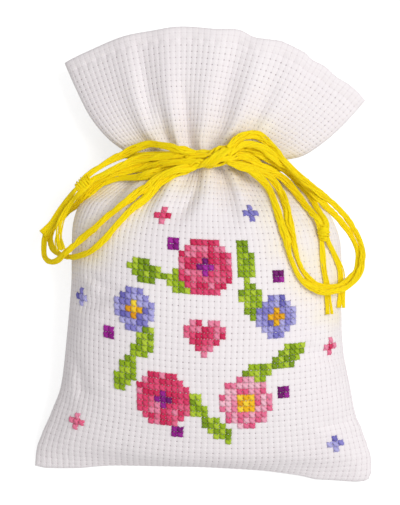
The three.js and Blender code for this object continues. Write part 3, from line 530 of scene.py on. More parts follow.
# Places of the seams and of the panels' middles: x in shares of half the width, y in shares of the length
LEFT_SEAM = (
    (-1.005, -0.44), (-0.985, -0.388), (-0.915, -0.33), (-0.845, -0.266), (-0.808, -0.168),
    (-0.778, -0.05), (-0.765, 0.047), (-0.725, 0.097), (-0.612, 0.134), (-0.49, 0.161),
    (-0.413, 0.181), (-0.38, 0.193), (-0.44, 0.21), (-0.55, 0.238), (-0.665, 0.285),
    (-0.747, 0.34), (-0.815, 0.393),
)
RIGHT_SEAM = (
    (0.992, -0.466), (1, -0.417), (0.95, -0.36), (0.89, -0.295), (0.84, -0.198),
    (0.832, -0.082), (0.812, 0.019), (0.76, 0.074), (0.665, 0.109), (0.56, 0.141),
    (0.465, 0.163), (0.42, 0.179), (0.448, 0.194), (0.575, 0.202), (0.72, 0.231),
    (0.847, 0.271), (0.957, 0.315),
)
FRONT_MIDDLE = (
    (0, -0.439), (0, -0.425), (0, -0.379), (0, -0.315), (0, -0.216), (0, -0.094), (0, 0.005),
    (0.005, 0.065), (0.01, 0.121), (0.015, 0.165), (0.018, 0.186), (0.02, 0.196), (0.025, 0.222),
    (0.035, 0.266), (0.045, 0.33), (0.058, 0.394), (0.07, 0.453),
)
BACK_MIDDLE = (
    (0, -0.439), (0, -0.408), (0, -0.36), (0, -0.292), (0, -0.193), (0, -0.073), (0, 0.026),
    (0.005, 0.082), (0.01, 0.133), (0.015, 0.168), (0.018, 0.187), (0.02, 0.196), (0.025, 0.219),
    (0.035, 0.262), (0.045, 0.324), (0.058, 0.386), (0.07, 0.44),
)

# Heights in shares of the named heights, roundness of the rows, and steepness of the pleats
SEAM_RISE = (0, 0.16, 0.43, 0.7, 0.9, 0.98, 1, 1, 1, 1, 1, 1, 0.99, 0.95, 0.9, 0.83, 0.75)
FRONT_BODY = (0, 0.24, 0.46, 0.68, 0.89, 1, 0.97, 0.885, 0.73, 0.53)
BACK_BODY = (1, 0.36, 0.02, 0, 0, 0, 0, 0, 0.06, 0.4)
FRONT_FRILL = (0.02, 0.36, 0.72, 0.93, 1)
BACK_FRILL = (0.06, 0.42, 0.74, 0.92, 1)
ROUNDNESS = (0.95, 0.72, 0.58, 0.52, 0.5, 0.5, 0.5, 0.5, 0.5, 0.5, 0.5, 0.5, 0.55, 0.65, 0.76, 0.84, 0.9)
STEEPNESS = (0, 0, 0, 0, 0, 0, 0.06, 0.22, 0.52, 0.82, 0.96, 1, 0.72, 0.4, 0.22, 0.13, 0.1)

# Edges beyond their plain curves: the hem outwards and the bottom downwards, at places from seam to seam,
# and the seams outwards, at shares of the way to the hem
HEM_EDGE = edge_line(
    (-1, -0.8, -0.6, -0.4, -0.23, -0.05, 0.12, 0.21, 0.3, 0.376, 0.5, 0.58, 0.66, 0.76, 0.86, 1),
    (2, 0, 2, 0, 3, 1, 10, 3, 10, 17, 17, 11, 14, 9, 12, 7),
)
BOTTOM_EDGE = edge_line(
    (-1, -0.97, -0.93, -0.83, -0.73, -0.63, -0.5, -0.2, 0, 0.2, 0.36, 0.48, 0.6, 0.69, 0.8, 0.9, 0.97, 1),
    (0, 3, 6, 7, 6.5, 2.5, -1, -2, -3.5, -2.5, -1, 2.5, 7, 13, 12, 12, 8.5, 3),
)
LEFT_EDGE = edge_line(
    (0, 0.02, 0.04, 0.06, 0.11, 0.18, 0.28, 0.38, 0.44, 0.5, 0.55), (2, 2, 0, -5, -6, -6, -6, -6, -4, -2, 0),
)
RIGHT_EDGE = edge_line(
    (0, 0.015, 0.03, 0.05, 0.07, 0.11, 0.135, 0.18, 0.22, 0.28, 0.33, 0.37, 0.41, 0.5),
    (6, 11, 9, 5, 0, 0, -4, -1, 0, -4, -7, -7, -4, 0),
)

# Folds of the front: lines in blocks from the left and bottom seams, depths in metres, half widths in blocks
FRONT_FOLDS = (
    Fold(((25.6, 58.5), (26.2, 54.5), (25.8, 50.6), (24.4, 48), (22.4, 45)), 0.0010, 1.25),
    Fold(((22.8, 56.5), (22.8, 52.5), (21.8, 49), (19.8, 46)), -0.0005, 2.1),
    Fold(((35.3, 59.5), (35.1, 55.5), (34.8, 52.2), (35.2, 48.5)), 0.0004, 0.6),
    Fold(((35.5, 58.5), (34.1, 55.1), (33.4, 51.8)), 0.0003, 0.5),
    Fold(((41, 58), (40.6, 53), (42, 47.5)), 0.0003, 1.4),
    Fold(((5.2, 56), (7.6, 51.4), (9.2, 47), (8.6, 42), (6.6, 36)), 0.0011, 1.7),
    Fold(((4, 20), (5.6, 15), (5, 9)), 0.0005, 1.6),
    Fold(((52.5, 44), (51.2, 38), (52, 31)), 0.0004, 1.6),
    Fold(((12, 61), (13.3, 67), (14.2, 73), (14.4, 81)), 0.0010, 1.5),
    Fold(((23.2, 60.5), (22.9, 66), (22.4, 73)), 0.0007, 1.2),
    Fold(((29.2, 61), (30.1, 66), (31.4, 73), (32.4, 82)), 0.0009, 2.0),
    Fold(((41.6, 62), (40.8, 68), (40.4, 77)), 0.0008, 1.6),
    Fold(((18.2, 62), (18.4, 68), (18.4, 78)), -0.0004, 2.2),
    Fold(((36, 63), (36.4, 70), (37, 80)), -0.0004, 2.4),
)


def curve_weights(at: Array, count: int) -> Array:
    """A matrix that takes values at whole steps to values at these places: cubic B-spline weights."""
    i = np.clip(at.astype(int), 0, count - 2)
    t = at - i
    parts = (1 - t) ** 3, 3 * t**3 - 6 * t**2 + 4, 3 * (t + t**2 - t**3) + 1, t**3
    weights = np.zeros((len(at), count))
    for step, part in enumerate(parts, -1):
        np.add.at(weights, (np.arange(len(at)), np.clip(i + step, 0, count - 1)), part / 6)
    return weights


@dataclass(frozen=True)
class ClothSizes:
    """Sizes of the cloth and heights of the bag above the table, in metres."""

    width: float = 0.080
    length: float = 0.116
    thickness: float = 0.0007
    hem_depth: float = 0.0029
    hem_fold: float = 0.0006
    seam_gap: float = 0.0003
    blocks_across: int = 57
    blocks_along: int = 82
    belly: float = 0.026
    seam: float = 0.0103
    neck_front: float = 0.0152
    neck_back: float = 0.0054
    frill_front: float = 0.018
    frill_back: float = 0.0019
    ear: float = 0.0018
    bottom_seam: float = 0.007
    frillward: float = 0.0005
    pleat_slope: float = 1.25

    @property
    def rest(self) -> float:
        """Height of the back's middle layer where the bag lies on the table."""
        return self.thickness / 2

    @property
    def hem_row(self) -> float:
        """The row of blocks at which the folded hem begins."""
        return self.blocks_along * (1 - self.hem_depth / self.length)


@dataclass(frozen=True)
class Pleats:
    """Valleys between crests across a panel, with the seams as crests."""

    valleys: tuple[float, ...]
    strengths: tuple[float, ...]

    @property
    def knots(self) -> Array:
        """Crests and valleys in turn, from seam to seam."""
        valleys = np.array(self.valleys)
        knots = np.empty(2 * len(valleys) + 1)
        knots[1::2] = valleys
        knots[2:-1:2] = (valleys[:-1] + valleys[1:]) / 2
        knots[[0, -1]] = -1, 1
        return knots

    def phase(self, u: Array) -> Array:
        """Half a turn from a crest to the next valley."""
        return np.interp(u, self.knots, np.arange(len(self.knots)) * math.pi)

    def strength(self, u: Array) -> Array:
        """How deep the pleats are across the panel."""
        first, last = self.strengths[0], self.strengths[-1]
        return SmoothLine((-1, *self.valleys, 1), (first, *self.strengths, last))(u)


@dataclass
class Panel:
    """One cloth panel as a function of u, from -1 to 1 across it, and v, from 0 to 1 along it."""

    side: Side
    middle_shares: tuple[tuple[float, float], ...]
    levels: tuple[float, ...]
    pleats: Pleats
    sizes: ClothSizes
    walk_steps: int = 240
    envelope_steps: int = 96
    facing_share: float = 0.02
    probe_share: float = 0.004
    folds: tuple[Fold, ...] = ()
    press_steps: int = 3
    hem_start: float = 0.84
    bottom_end: float = 0.1
    side_start: float = 0.35
    neck_place: tuple[float, float] = (0.0009, 0.0234)
    least_room: float = 1e-9
    pressed: Array = field(init=False)

    def __post_init__(self) -> None:
        """Work out how far the folds press the cloth in, on a grid of a few steps to a block."""
        columns, rows = (
            np.arange(blocks * self.press_steps + 1) / self.press_steps
            for blocks in (self.sizes.blocks_across, self.sizes.blocks_along)
        )
        place = np.stack(np.meshgrid(columns, rows), -1)
        self.pressed = np.zeros(place.shape[:2])
        for fold in self.folds:
            self.pressed += fold.press(place)

    def _press(self, u: Array, v: Array) -> Array:
        """Read the grid of folds on smooth curves between its points."""
        rows, columns = self.pressed.shape
        down = curve_weights(v * (rows - 1), rows)
        across = curve_weights((u + 1) / 2 * (columns - 1), columns)
        return down @ self.pressed @ across.T

    def _plan(self, shares: tuple[tuple[float, float], ...], v: Array) -> Array:
        """Plan points of a line at v."""
        x = tuple(place[0] * self.sizes.width / 2 for place in shares)
        y = tuple(place[1] * self.sizes.length + self.sizes.frillward for place in shares)
        return np.stack((SmoothLine(STATIONS, x)(v), SmoothLine(STATIONS, y)(v)), -1)

    def seam_level(self, v: Array) -> Array:
        """Height of the side seams at v."""
        rise = self.sizes.seam - self.sizes.ear
        return SmoothLine(STATIONS, tuple(self.sizes.ear + share * rise for share in SEAM_RISE))(v)

    def _plain(self, v: Array, s: Array) -> Array:
        """Rows without pleats: middle + half * s + bow * s^2, raised by (1 - s^2) ^ roundness.

        Args:
            v: The rows, a column of values.
            s: Places across, one row of values for each of them.

        Returns:
            Points for each row and place.
        """
        left, right = self._plan(LEFT_SEAM, v), self._plan(RIGHT_SEAM, v)
        middle = self._plan(self.middle_shares, v)
        half, bow = (right - left) / 2, (right + left) / 2 - middle
        across = s[..., None]
        plan = middle + half * across + bow * across**2
        seam = self.seam_level(v)
        rise = SmoothLine(STATIONS, self.levels)(v) - seam
        arch = SmoothLine(STATIONS, ROUNDNESS)(v)
        height = seam + rise * np.maximum(1 - s * s, 0) ** arch
        return np.concatenate((plan, height[..., None]), -1)

    def _envelope(self, v: Array, share: Array) -> Array:
        """Points at shares of each row's own length, found by measuring it in short chords."""
        knots = -np.cos(np.linspace(0, math.pi, self.envelope_steps + 1))
        samples = self._plain(v, np.broadcast_to(knots, (len(v), len(knots))))
        steps = np.linalg.norm(np.diff(samples, axis=1), axis=2)
        lengths = np.concatenate((np.zeros((len(v), 1)), np.cumsum(steps, axis=1)), 1)
        rows = 2.0 * np.arange(len(v))[:, None]
        marks = (lengths / lengths[:, -1:] + rows).ravel()
        turns = np.interp((share + rows).ravel(), marks, np.tile(np.arange(len(knots)), len(v)))
        return self._plain(v, -np.cos(math.pi * turns.reshape(share.shape) / self.envelope_steps))

    def _walk(self, u: Array, v: Array) -> tuple[Array, Array]:
        """Walk across the cloth at a slope that swings from pleat to pleat.

        Args:
            u: Places across the flat cloth.
            v: The rows, a column of values.

        Returns:
            How far along the row each place is, as a share, and how deep it lies below the crests.
        """
        half_step = 1 / self.walk_steps
        middles = np.linspace(-1 + half_step, 1 - half_step, self.walk_steps)
        steep = SmoothLine(STATIONS, STEEPNESS)(v) * self.sizes.pleat_slope
        slope = steep * self.pleats.strength(middles) * np.sin(self.pleats.phase(middles))
        start = np.zeros((len(v), 1))
        step = self.sizes.width / self.walk_steps
        places = np.concatenate((start, np.cumsum(np.cos(slope) * step, axis=1)), 1)
        depths = np.concatenate((start, np.cumsum(np.sin(slope) * step, axis=1)), 1)
        marks = np.linspace(-1, 1, self.walk_steps + 1)
        crests = self.pleats.knots[::2]
        to_crests = self._weights(crests, marks)
        drift = depths @ to_crests.T @ self._weights(marks, crests).T
        to_places = self._weights(u, marks)
        return places / places[:, -1:] @ to_places.T, np.maximum(depths - drift, 0) @ to_places.T

    @staticmethod
    def _weights(at: Array, marks: Array) -> Array:
        """A matrix that takes values at marks to values at these places, in straight lines between them."""
        return np.stack([np.interp(at, marks, column) for column in np.eye(len(marks))], 1)

    def _raw(self, u: Array, v: Array) -> Array:
        """Pleated rows: the envelope moved inwards by the pleats' depth, as far as there is room."""
        rows = v[:, None]
        share, depth = self._walk(u, rows)
        point = self._envelope(rows, share)
        ahead = self._envelope(rows, np.minimum(share + self.facing_share, 1))
        ahead -= self._envelope(rows, np.maximum(share - self.facing_share, 0))
        flat = np.hypot(ahead[..., 0], ahead[..., 1])
        inward = np.stack(
            (ahead[..., 0] / flat * ahead[..., 2], ahead[..., 1] / flat * ahead[..., 2], -flat), -1
        )
        above_seam = np.abs(point[..., 2] - self.seam_level(rows)) - self.sizes.thickness
        room = np.maximum(above_seam, self.least_room)
        fall = room * np.tanh((depth + self._press(u, v)) / room)
        point = point + unit(inward) * self.side.value * fall[..., None]
        self._trim(u, rows, point)
        return point

    def _trim(self, u: Array, rows: Array, point: Array) -> None:
        """Move the hem out from the neck, the bottom edge along the bag and the seams across it.

        The cloth beside each edge follows it less and less.

        Args:
            u: Places across the panel.
            rows: The rows, a column of values from 0 to 1.
            point: The points to move, a row of them for each row.
        """
        outward = unit(point[..., :2] - np.array(self.neck_place))
        late = np.clip((rows - self.hem_start) / (1 - self.hem_start), 0, 1) ** 2
        point[..., :2] += outward * (HEM_EDGE(u) * late)[..., None]
        early = np.clip(1 - rows / self.bottom_end, 0, 1) ** 2
        point[..., 1] -= BOTTOM_EDGE(u) * early
        for sign, edge in ((-1, LEFT_EDGE), (1, RIGHT_EDGE)):
            beside = np.clip((u * sign - self.side_start) / (1 - self.side_start), 0, 1) ** 2
            point[..., 0] += sign * beside * edge(rows)

    def middle(self, u: Array, v: Array) -> tuple[Array, Array]:
        """Mid surface on the grid of u and v, not yet parted at the seams, and its outward directions."""
        near = self.probe_share
        across = self._raw(np.minimum(u + near, 1), v) - self._raw(np.maximum(u - near, -1), v)
        along = self._raw(u, np.minimum(v + near, 1)) - self._raw(u, np.maximum(v - near, 0))
        normal = unit(np.cross(across, along)) * self.side.value
        return self._raw(u, v), normal

    def parted(self, normal: Array) -> Array:
        """How far the mid surface stands from the seam's plane, so that the two panels stay apart."""
        return self.sizes.seam_gap / 2 + self.sizes.thickness / 2 * np.abs(normal[..., 2])

    def off(
        self, point: Array, normal: Array, distance: Array | float, part: Array | float = 1.0
    ) -> Array:
        """Points off the cloth, never below the table.

        Args:
            point: Points of the mid surface.
            normal: Outward directions there.
            distance: How far to move outwards.
            part: The share of the parting at the seams that is kept.

        Returns:
            The moved points.
        """
        moved = point.copy()
        moved[..., 2] += self.side.value * self.parted(normal) * part
        if self.side is Side.BACK:
            moved[..., 2] = np.maximum(moved[..., 2], self.sizes.rest)
        moved = moved + normal * np.asarray(distance)[..., None]
        moved[..., 2] = np.maximum(moved[..., 2], 0)
        return moved


def panel_levels(
    body: tuple[float, ...], low: float, high: float, neck: float, frill: tuple[float, ...], hem: float
) -> tuple[float, ...]:
    """Heights of a panel's middle over the body, the neck and the frill.

    Args:
        body: Shares from the low height to the high one.
        low: Height that share 0 stands for.
        high: Height that share 1 stands for.
        neck: Height at the neck.
        frill: Shares from the neck to the hem.
        hem: Height of the hem.

    Returns:
        A height for each station.
    """
    over_body = tuple(low + share * (high - low) for share in body)
    over_frill = tuple(neck + share * (hem - neck) for share in frill)
    return (*over_body, neck, neck, *over_frill)


def front_panel_shape(sizes: ClothSizes) -> Panel:
    """The front panel's surface."""
    levels = panel_levels(
        FRONT_BODY, sizes.bottom_seam, sizes.belly, sizes.neck_front, FRONT_FRILL, sizes.frill_front
    )
    pleats = Pleats((-0.72, -0.43, -0.19, 0.165, 0.37, 0.65), (0.55, 1, 0.85, 1, 0.6, 0.75))
    return Panel(Side.FRONT, FRONT_MIDDLE, levels, pleats, sizes, folds=FRONT_FOLDS)


def back_panel_shape(sizes: ClothSizes) -> Panel:
    """The back panel's surface."""
    levels = panel_levels(
        BACK_BODY, sizes.rest, sizes.bottom_seam, sizes.neck_back, BACK_FRILL, sizes.frill_back
    )
    pleats = Pleats((-0.6, -0.28, 0.05, 0.34, 0.66), (0.7, 0.95, 0.8, 1, 0.65))
    return Panel(Side.BACK, BACK_MIDDLE, levels, pleats, sizes)


@dataclass
class PanelMap:
    """A fine map of a panel's mid surface, from which scattered places are read."""

    panel: Panel
    steps_per_block: int = 8
    points: Array = field(init=False)
    normals: Array = field(init=False)

    def __post_init__(self) -> None:
        """Work the map out once."""
        sizes = self.panel.sizes
        u = np.linspace(-1, 1, sizes.blocks_across * self.steps_per_block + 1)
        v = np.linspace(0, 1, sizes.blocks_along * self.steps_per_block + 1)
        self.points, self.normals = self.panel.middle(u, v)

    def at(self, column: Array, row: Array) -> tuple[Array, Array]:
        """Read the map at places in cloth blocks, in straight lines between its points.

        Args:
            column: Blocks from the left seam.
            row: Blocks from the bottom seam.

        Returns:
            Points of the mid surface and outward directions.
        """
        x, y = column * self.steps_per_block, row * self.steps_per_block
        j = np.clip(x.astype(int), 0, self.points.shape[1] - 2)
        i = np.clip(y.astype(int), 0, self.points.shape[0] - 2)
        s, t = (x - j)[..., None], (y - i)[..., None]
        read = [
            grid[i, j] * (1 - s) * (1 - t) + grid[i, j + 1] * s * (1 - t)
            + grid[i + 1, j] * (1 - s) * t + grid[i + 1, j + 1] * s * t
            for grid in (self.points, self.normals)
        ]
        return read[0], unit(read[1])

    def lay(self, column: Array, row: Array, distance: Array | float) -> tuple[Array, Array]:
        """Points at a distance outside the cloth's mid surface, and outward directions."""
        points, normals = self.at(column, row)
        return self.panel.off(points, normals, distance), normals


@dataclass
class Settling:
    """How the stuffed body settles: both panels, joined at their seams, in Blender's cloth solver.

    The shell is solved many times larger than it is, where the solver is steady. Of the result only the
    small creases are kept, as depths along the panels' normals.
    """

    front: Panel
    back: Panel
    floss: Array
    scale: float = 25.0
    last_row: int = 56
    held_rows: int = 3
    frames: int = 26
    pressure: float = 3.0
    slack: float = 0.035
    broad: float = 3.2
    seam_fade: float = 4.0
    neck_fade: float = 8.0
    cap: float = 0.0006
    clear_of_floss: float = 0.0026
    solver: tuple[tuple[str, float], ...] = (
        ("quality", 5), ("mass", 0.3), ("tension_stiffness", 15), ("compression_stiffness", 15),
        ("shear_stiffness", 5), ("bending_stiffness", 0.4), ("use_pressure", True),
    )

    def _shell(self) -> tuple[bpy.types.Object, Array, list[Array], list[Array]]:
        """Make the joined shell.

        Returns:
            The shell, its start points in metres, each panel's point indices and its outward directions.
        """
        sizes = self.front.sizes
        u = np.linspace(-1, 1, sizes.blocks_across + 1)
        v = np.arange(self.last_row + 1) / sizes.blocks_along
        (over, over_normal), (under, under_normal) = self.front.middle(u, v), self.back.middle(u, v)
        shape = over.shape[:2]
        first = np.arange(over[..., 0].size).reshape(shape)
        inner = np.zeros(shape, bool)
        inner[1:, 1:-1] = True
        second = first.copy()
        second[inner] = first.size + np.arange(inner.sum())
        points = np.concatenate((over.reshape(-1, 3), under[inner]))
        rows, columns = shape
        quads = grid_quads(rows, columns)
        polygons = [quads, second.ravel()[quads][:, ::-1]]
        shell = mesh_piece("settling_shell", points * self.scale, polygons, None)
        return shell, points, [first, second], [over_normal, under_normal]

    def _solve(self, shell: bpy.types.Object, held: Array) -> Array:
        """Run the solver and give the shell's last points, in metres."""
        group = shell.vertex_groups.new(name="held")
        group.add(held.tolist(), 1.0, "REPLACE")
        cloth = shell.modifiers.new("settle", "CLOTH")
        settings = cloth.settings
        for key, value in self.solver:
            setattr(settings, key, value)
        settings.uniform_pressure_force = self.pressure
        settings.shrink_min = -self.slack
        settings.effector_weights.gravity = 0
        settings.vertex_group_mass = "held"
        cloth.collision_settings.use_collision = False
        cloth.point_cache.frame_start, cloth.point_cache.frame_end = 1, self.frames
        for frame_number in range(1, self.frames + 1):
            bpy.context.scene.frame_set(frame_number)
        settled = shell.evaluated_get(bpy.context.evaluated_depsgraph_get())
        places = np.empty(len(settled.data.vertices) * 3)
        settled.data.vertices.foreach_get("co", places)
        bpy.context.scene.frame_set(1)
        return places.reshape(-1, 3) / self.scale

    @staticmethod
    def _blur(count: int, width: float) -> Array:
        """A matrix that spreads values over their neighbours as exp(-(gap / width)^2)."""
        at = np.arange(count)
        weights = np.exp(-(((at[:, None] - at) / width) ** 2))
        return weights / weights.sum(1, keepdims=True)

    def apply(self) -> None:
        """Settle the shell and press its creases into both panels."""
        shell, start, indices, normals = self._shell()
        held = np.unique(np.concatenate([index[-self.held_rows :].ravel() for index in indices]))
        moved = self._solve(shell, held) - start
        data = shell.data
        bpy.data.objects.remove(shell)
        bpy.data.meshes.remove(data)
        for panel, index, normal in zip((self.front, self.back), indices, normals):
            out = (moved[index] * normal).sum(-1)
            rows, columns = out.shape
            crease = out - self._blur(rows, self.broad) @ out @ self._blur(columns, self.broad).T
            kept = self.cap * np.tanh(crease / self.cap) * self._freedom(start[index])
            whole = np.zeros((panel.sizes.blocks_along + 1, columns))
            whole[:rows] = kept
            fine_rows, fine_columns = (np.arange(count) / panel.press_steps for count in panel.pressed.shape)
            to_rows, to_columns = curve_weights(fine_rows, len(whole)), curve_weights(fine_columns, columns)
            panel.pressed -= to_rows @ whole @ to_columns.T
            log.info("%s settled by up to %.2f mm", panel.side.name.lower(), np.abs(kept).max() * 1000)

    def _freedom(self, points: Array) -> Array:
        """How freely the cloth creases: not at the seams, the neck or under the floss.

        Args:
            points: A grid of points of a panel.

        Returns:
            Shares from 0 to 1 for each of them.
        """
        rows, columns = points.shape[:2]
        gap = nearest_gap(points.reshape(-1, 3), self.floss).reshape(rows, columns)
        free = 1 - np.exp(-((gap / self.clear_of_floss) ** 2))
        row, column = np.arange(rows)[:, None], np.arange(columns)
        inside = np.minimum(np.minimum(column, columns - 1 - column), row) / self.seam_fade
        below = (self.last_row - row) / self.neck_fade
        return free * np.clip(inside, 0, 1) * np.clip(below, 0, 1)


def nearest_gap(points: Array, others: Array, at_once: int = 60) -> Array:
    """Distance from each point to the nearest of the others, which are taken some at once to save memory."""
    nearest = np.full(len(points), np.inf)
    for part in np.array_split(others, max(1, len(others) // at_once)):
        nearest = np.minimum(nearest, ((points[:, None, :] - part) ** 2).sum(-1).min(1))
    return np.sqrt(nearest)


@dataclass
class ClothPanel:
    """A woven panel: a closed shell whose outer face carries the relief of the weave."""

    node: str
    shape: Panel
    finish: bpy.types.Material
    floss: Array
    pillow: str
    steps: tuple[float, ...] = (0.0, 0.15, 0.5, 0.85)
    hole_depth: float = 0.00016
    rib_height: float = 0.00008
    row_height: float = 0.00003
    hole_sharpness: int = 5
    hem_holes: float = 0.35
    hem_relief: float = 0.7
    hem_groove: float = 0.00034
    groove_width: float = 0.4
    stitch_swing: float = 0.4
    edge_blocks: float = 1.0
    least_edge: float = 0.15
    hem_taper: float = 0.25
    # Reach and patchiness of the painted yellow bounce light from the floss
    bounce_reach: float = 0.0042
    bounce_mean: float = 0.75
    bounce_swing: float = 0.35
    patch_size: float = 0.009

    def _stations(self, blocks: int) -> Array:
        """Places in blocks: each block's corner, its two shoulders and its middle."""
        return np.append((np.arange(blocks)[:, None] + np.array(self.steps)).ravel(), blocks)

    def _relief(self, columns: Array, rows: Array) -> Array:
        """Height of the weave: ribs between columns, lower ones between rows, and a pit at each corner."""
        hem_row = self.shape.sizes.hem_row
        rib = 0.5 + 0.5 * np.cos(TURN * columns)
        row = (0.5 + 0.5 * np.cos(TURN * rows))[:, None]
        hem = (rows > hem_row)[:, None]
        pit = (rib * row) ** self.hole_sharpness * np.where(hem, self.hem_holes, 1.0)
        groove = self.hem_groove * np.exp(-(((rows - hem_row) / self.groove_width) ** 2))[:, None]
        stitched = 1 - self.stitch_swing + self.stitch_swing * np.cos(TURN * columns / 2)
        weave = self.rib_height * (1 - rib) + self.row_height * (1 - row) - self.hole_depth * pit
        return weave * np.where(hem, self.hem_relief, 1.0) - groove * stitched

    def _edges(self, columns: Array, rows: Array) -> tuple[Array, Array]:
        """How round the panel's edge is: from a small share at the very edge to 1, as a quarter of a circle.

        Args:
            columns: Places across, in blocks.
            rows: Places along, in blocks.

        Returns:
            Shares at the seams, and shares at the hem's open edge.
        """
        sizes = self.shape.sizes
        from_side = np.minimum(columns, sizes.blocks_across - columns)
        inside = np.minimum(from_side[None, :], rows[:, None]) / self.edge_blocks
        from_hem = np.broadcast_to((sizes.blocks_along - rows[:, None]) * 2, inside.shape)
        return tuple(
            np.maximum(np.sqrt(1 - (1 - np.clip(part, 0, 1)) ** 2), self.least_edge)
            for part in (inside, from_hem)
        )

    def _face(self, columns: Array, rows: Array, outer: bool) -> Array:
        """Points of the outer or the inner face on a grid of places in blocks."""
        shape, sizes = self.shape, self.shape.sizes
        u, v = columns * 2 / sizes.blocks_across - 1, rows / sizes.blocks_along
        point, normal = shape.middle(u, v)
        seam_edge, hem_edge = self._edges(columns, rows)
        level = np.abs(normal[..., 2])
        half = sizes.thickness / 2 * (1 - level + level * seam_edge)
        folded = (rows > sizes.hem_row)[:, None] * np.minimum((1 - np.abs(u)) / self.hem_taper, 1)
        fold = sizes.hem_fold / 2 * folded
        if outer:
            distance = -fold + (half + fold) * hem_edge + self._relief(columns, rows) * seam_edge
        else:
            distance = -fold - (half + fold) * hem_edge
        return shape.off(point, normal, distance, seam_edge)

    def _rims(self, fine: tuple[int, int], coarse: tuple[int, int]) -> Array:
        """Triangles that join the outer face's rim to the inner face's coarser one.

        Args:
            fine: Rows and columns of the outer face's grid.
            coarse: Rows and columns of the inner face's grid.

        Returns:
            Triangles, with the inner face's points counted after the outer face's.
        """
        outer = np.arange(fine[0] * fine[1]).reshape(fine)
        inner = np.arange(coarse[0] * coarse[1]).reshape(coarse) + outer.size
        step = len(self.steps)
        rims = []
        edges = (
            (outer[0], inner[0], 1), (outer[:, -1], inner[:, -1], 1),
            (outer[-1], inner[-1], -1), (outer[:, 0], inner[:, 0], -1),
        )
        for over, under, direction in edges:
            a, b = under[:-1], under[1:]
            f = [over[k : len(over) - step + k : step] for k in range(step)] + [over[step::step]]
            fan = [(f[0], a, f[1]), (f[1], a, f[2]), (f[2], a, b), (f[2], b, f[3]), (f[3], b, f[4])]
            rims.append(np.concatenate([np.stack(corners, 1) for corners in fan])[:, ::direction])
        return np.concatenate(rims)

    def _painted_bounce(self, points: Array) -> Array:
        """How much painted yellow bounce light from the floss the cloth gets: a soft fall with distance from
        its strands.
        """
        gap = nearest_gap(points, self.floss)
        patches = self.bounce_mean + self.bounce_swing * gentle_noise(points, self.patch_size, 5)
        return np.clip(np.exp(-((gap / self.bounce_reach) ** 2)) * patches, 0, 1)

    def build(self) -> None:
        sizes = self.shape.sizes
        fine = self._stations(sizes.blocks_across), self._stations(sizes.blocks_along)
        coarse = np.arange(sizes.blocks_across + 1.0), np.arange(sizes.blocks_along + 1.0)
        outer, inner = self._face(*fine, True), self._face(*coarse, False)
        points = np.concatenate((outer.reshape(-1, 3), inner.reshape(-1, 3)))
        top = grid_quads(*outer.shape[:2])
        under = grid_quads(*inner.shape[:2], start=outer.shape[0] * outer.shape[1])[:, ::-1]
        rims = self._rims(outer.shape[:2], inner.shape[:2])
        polygons = [part[:, :: self.shape.side.value] for part in (top, under, rims)]
        weave = np.concatenate([np.stack(np.meshgrid(*grid), -1).reshape(-1, 2) for grid in (fine, coarse)])
        # Painted yellow bounce light from the floss, read by the cloth's finish
        numbers = {"PaintedBounce": self._painted_bounce(points)}
        piece = mesh_piece(f"{self.node}_cloth", points, polygons, self.finish, ("Weave", weave), numbers)
        fit_piece(piece, "bag", "cotton_cloth", self.node)
        log.info("%s: %d points", piece.name, len(points))


# Floss


def smooth_route(places: Sequence[Point], spacing: float, per_span: int = 24) -> Array:
    """A centripetal Catmull-Rom curve through points, with samples at even steps.

    Args:
        places: Points that the line goes through.
        spacing: Distance from sample to sample, in metres.
        per_span: Samples between two of the points before the resampling.

    Returns:
        Points along the line.
    """
    p = np.array(places, float)
    p = np.concatenate((2 * p[:1] - p[1:2], p, 2 * p[-1:] - p[-2:-1]))
    gap = np.linalg.norm(np.diff(p, axis=0), axis=1, keepdims=True) ** 0.5
    before, span, after = gap[:-2], gap[1:-1], gap[2:]
    a, b, c, d = p[:-3], p[1:-2], p[2:-1], p[3:]
    leave = ((b - a) / before - (c - a) / (before + span) + (c - b) / span) * span
    arrive = ((c - b) / span - (d - b) / (span + after) + (d - c) / after) * span
    t = np.linspace(0, 1, per_span, endpoint=False)[None, :, None]
    b, c, leave, arrive = (part[:, None, :] for part in (b, c, leave, arrive))
    line = (2 * t**3 - 3 * t**2 + 1) * b + (t**3 - 2 * t**2 + t) * leave
    line = line + (3 * t**2 - 2 * t**3) * c + (t**3 - t**2) * arrive
    return even_steps(np.concatenate((line.reshape(-1, 3), p[-2:-1])), spacing)


def even_steps(line: Array, spacing: float, fewest: int = 4) -> Array:
    """The same line with samples at even distances."""
    run = np.concatenate(([0], np.cumsum(np.linalg.norm(np.diff(line, axis=0), axis=1))))
    marks = np.linspace(0, run[-1], max(int(round(run[-1] / spacing)), fewest) + 1)
    return np.stack([np.interp(marks, run, line[:, axis]) for axis in range(3)], 1)


@dataclass(frozen=True)
class Swept:
    """Arrays for a mesh of strands; ply holds a coordinate round each ply and one along it."""

    points: Array
    polygons: list[Array]
    ply: Array
    tone: Array

    @staticmethod
    def joined(parts: Sequence["Swept"]) -> "Swept":
        """Several swept strands as one set of arrays."""
        starts = np.cumsum([0] + [len(part.points) for part in parts[:-1]])
        polygons = [polygon + start for part, start in zip(parts, starts) for polygon in part.polygons]
        points, ply, tone = (
            np.concatenate([getattr(part, key) for part in parts]) for key in ("points", "ply", "tone")
        )
        return Swept(points, polygons, ply, tone)

    def piece(
        self, name: str, material: bpy.types.Material, body: str, slot: str, *nodes: str
    ) -> bpy.types.Object:
        """Make the mesh and put it in place of CAD nodes.

        Args:
            name: The piece's name.
            material: Its finish.
            body: The body that it rides on.
            slot: Not used.
            nodes: The CAD nodes that it replaces.

        Returns:
            The new object.
        """
        uv, numbers = ("Ply", self.ply), {"Tone": self.tone}
        piece = mesh_piece(name, self.points, self.polygons, material, uv, numbers)
        return fit_piece(piece, body, slot, *nodes)


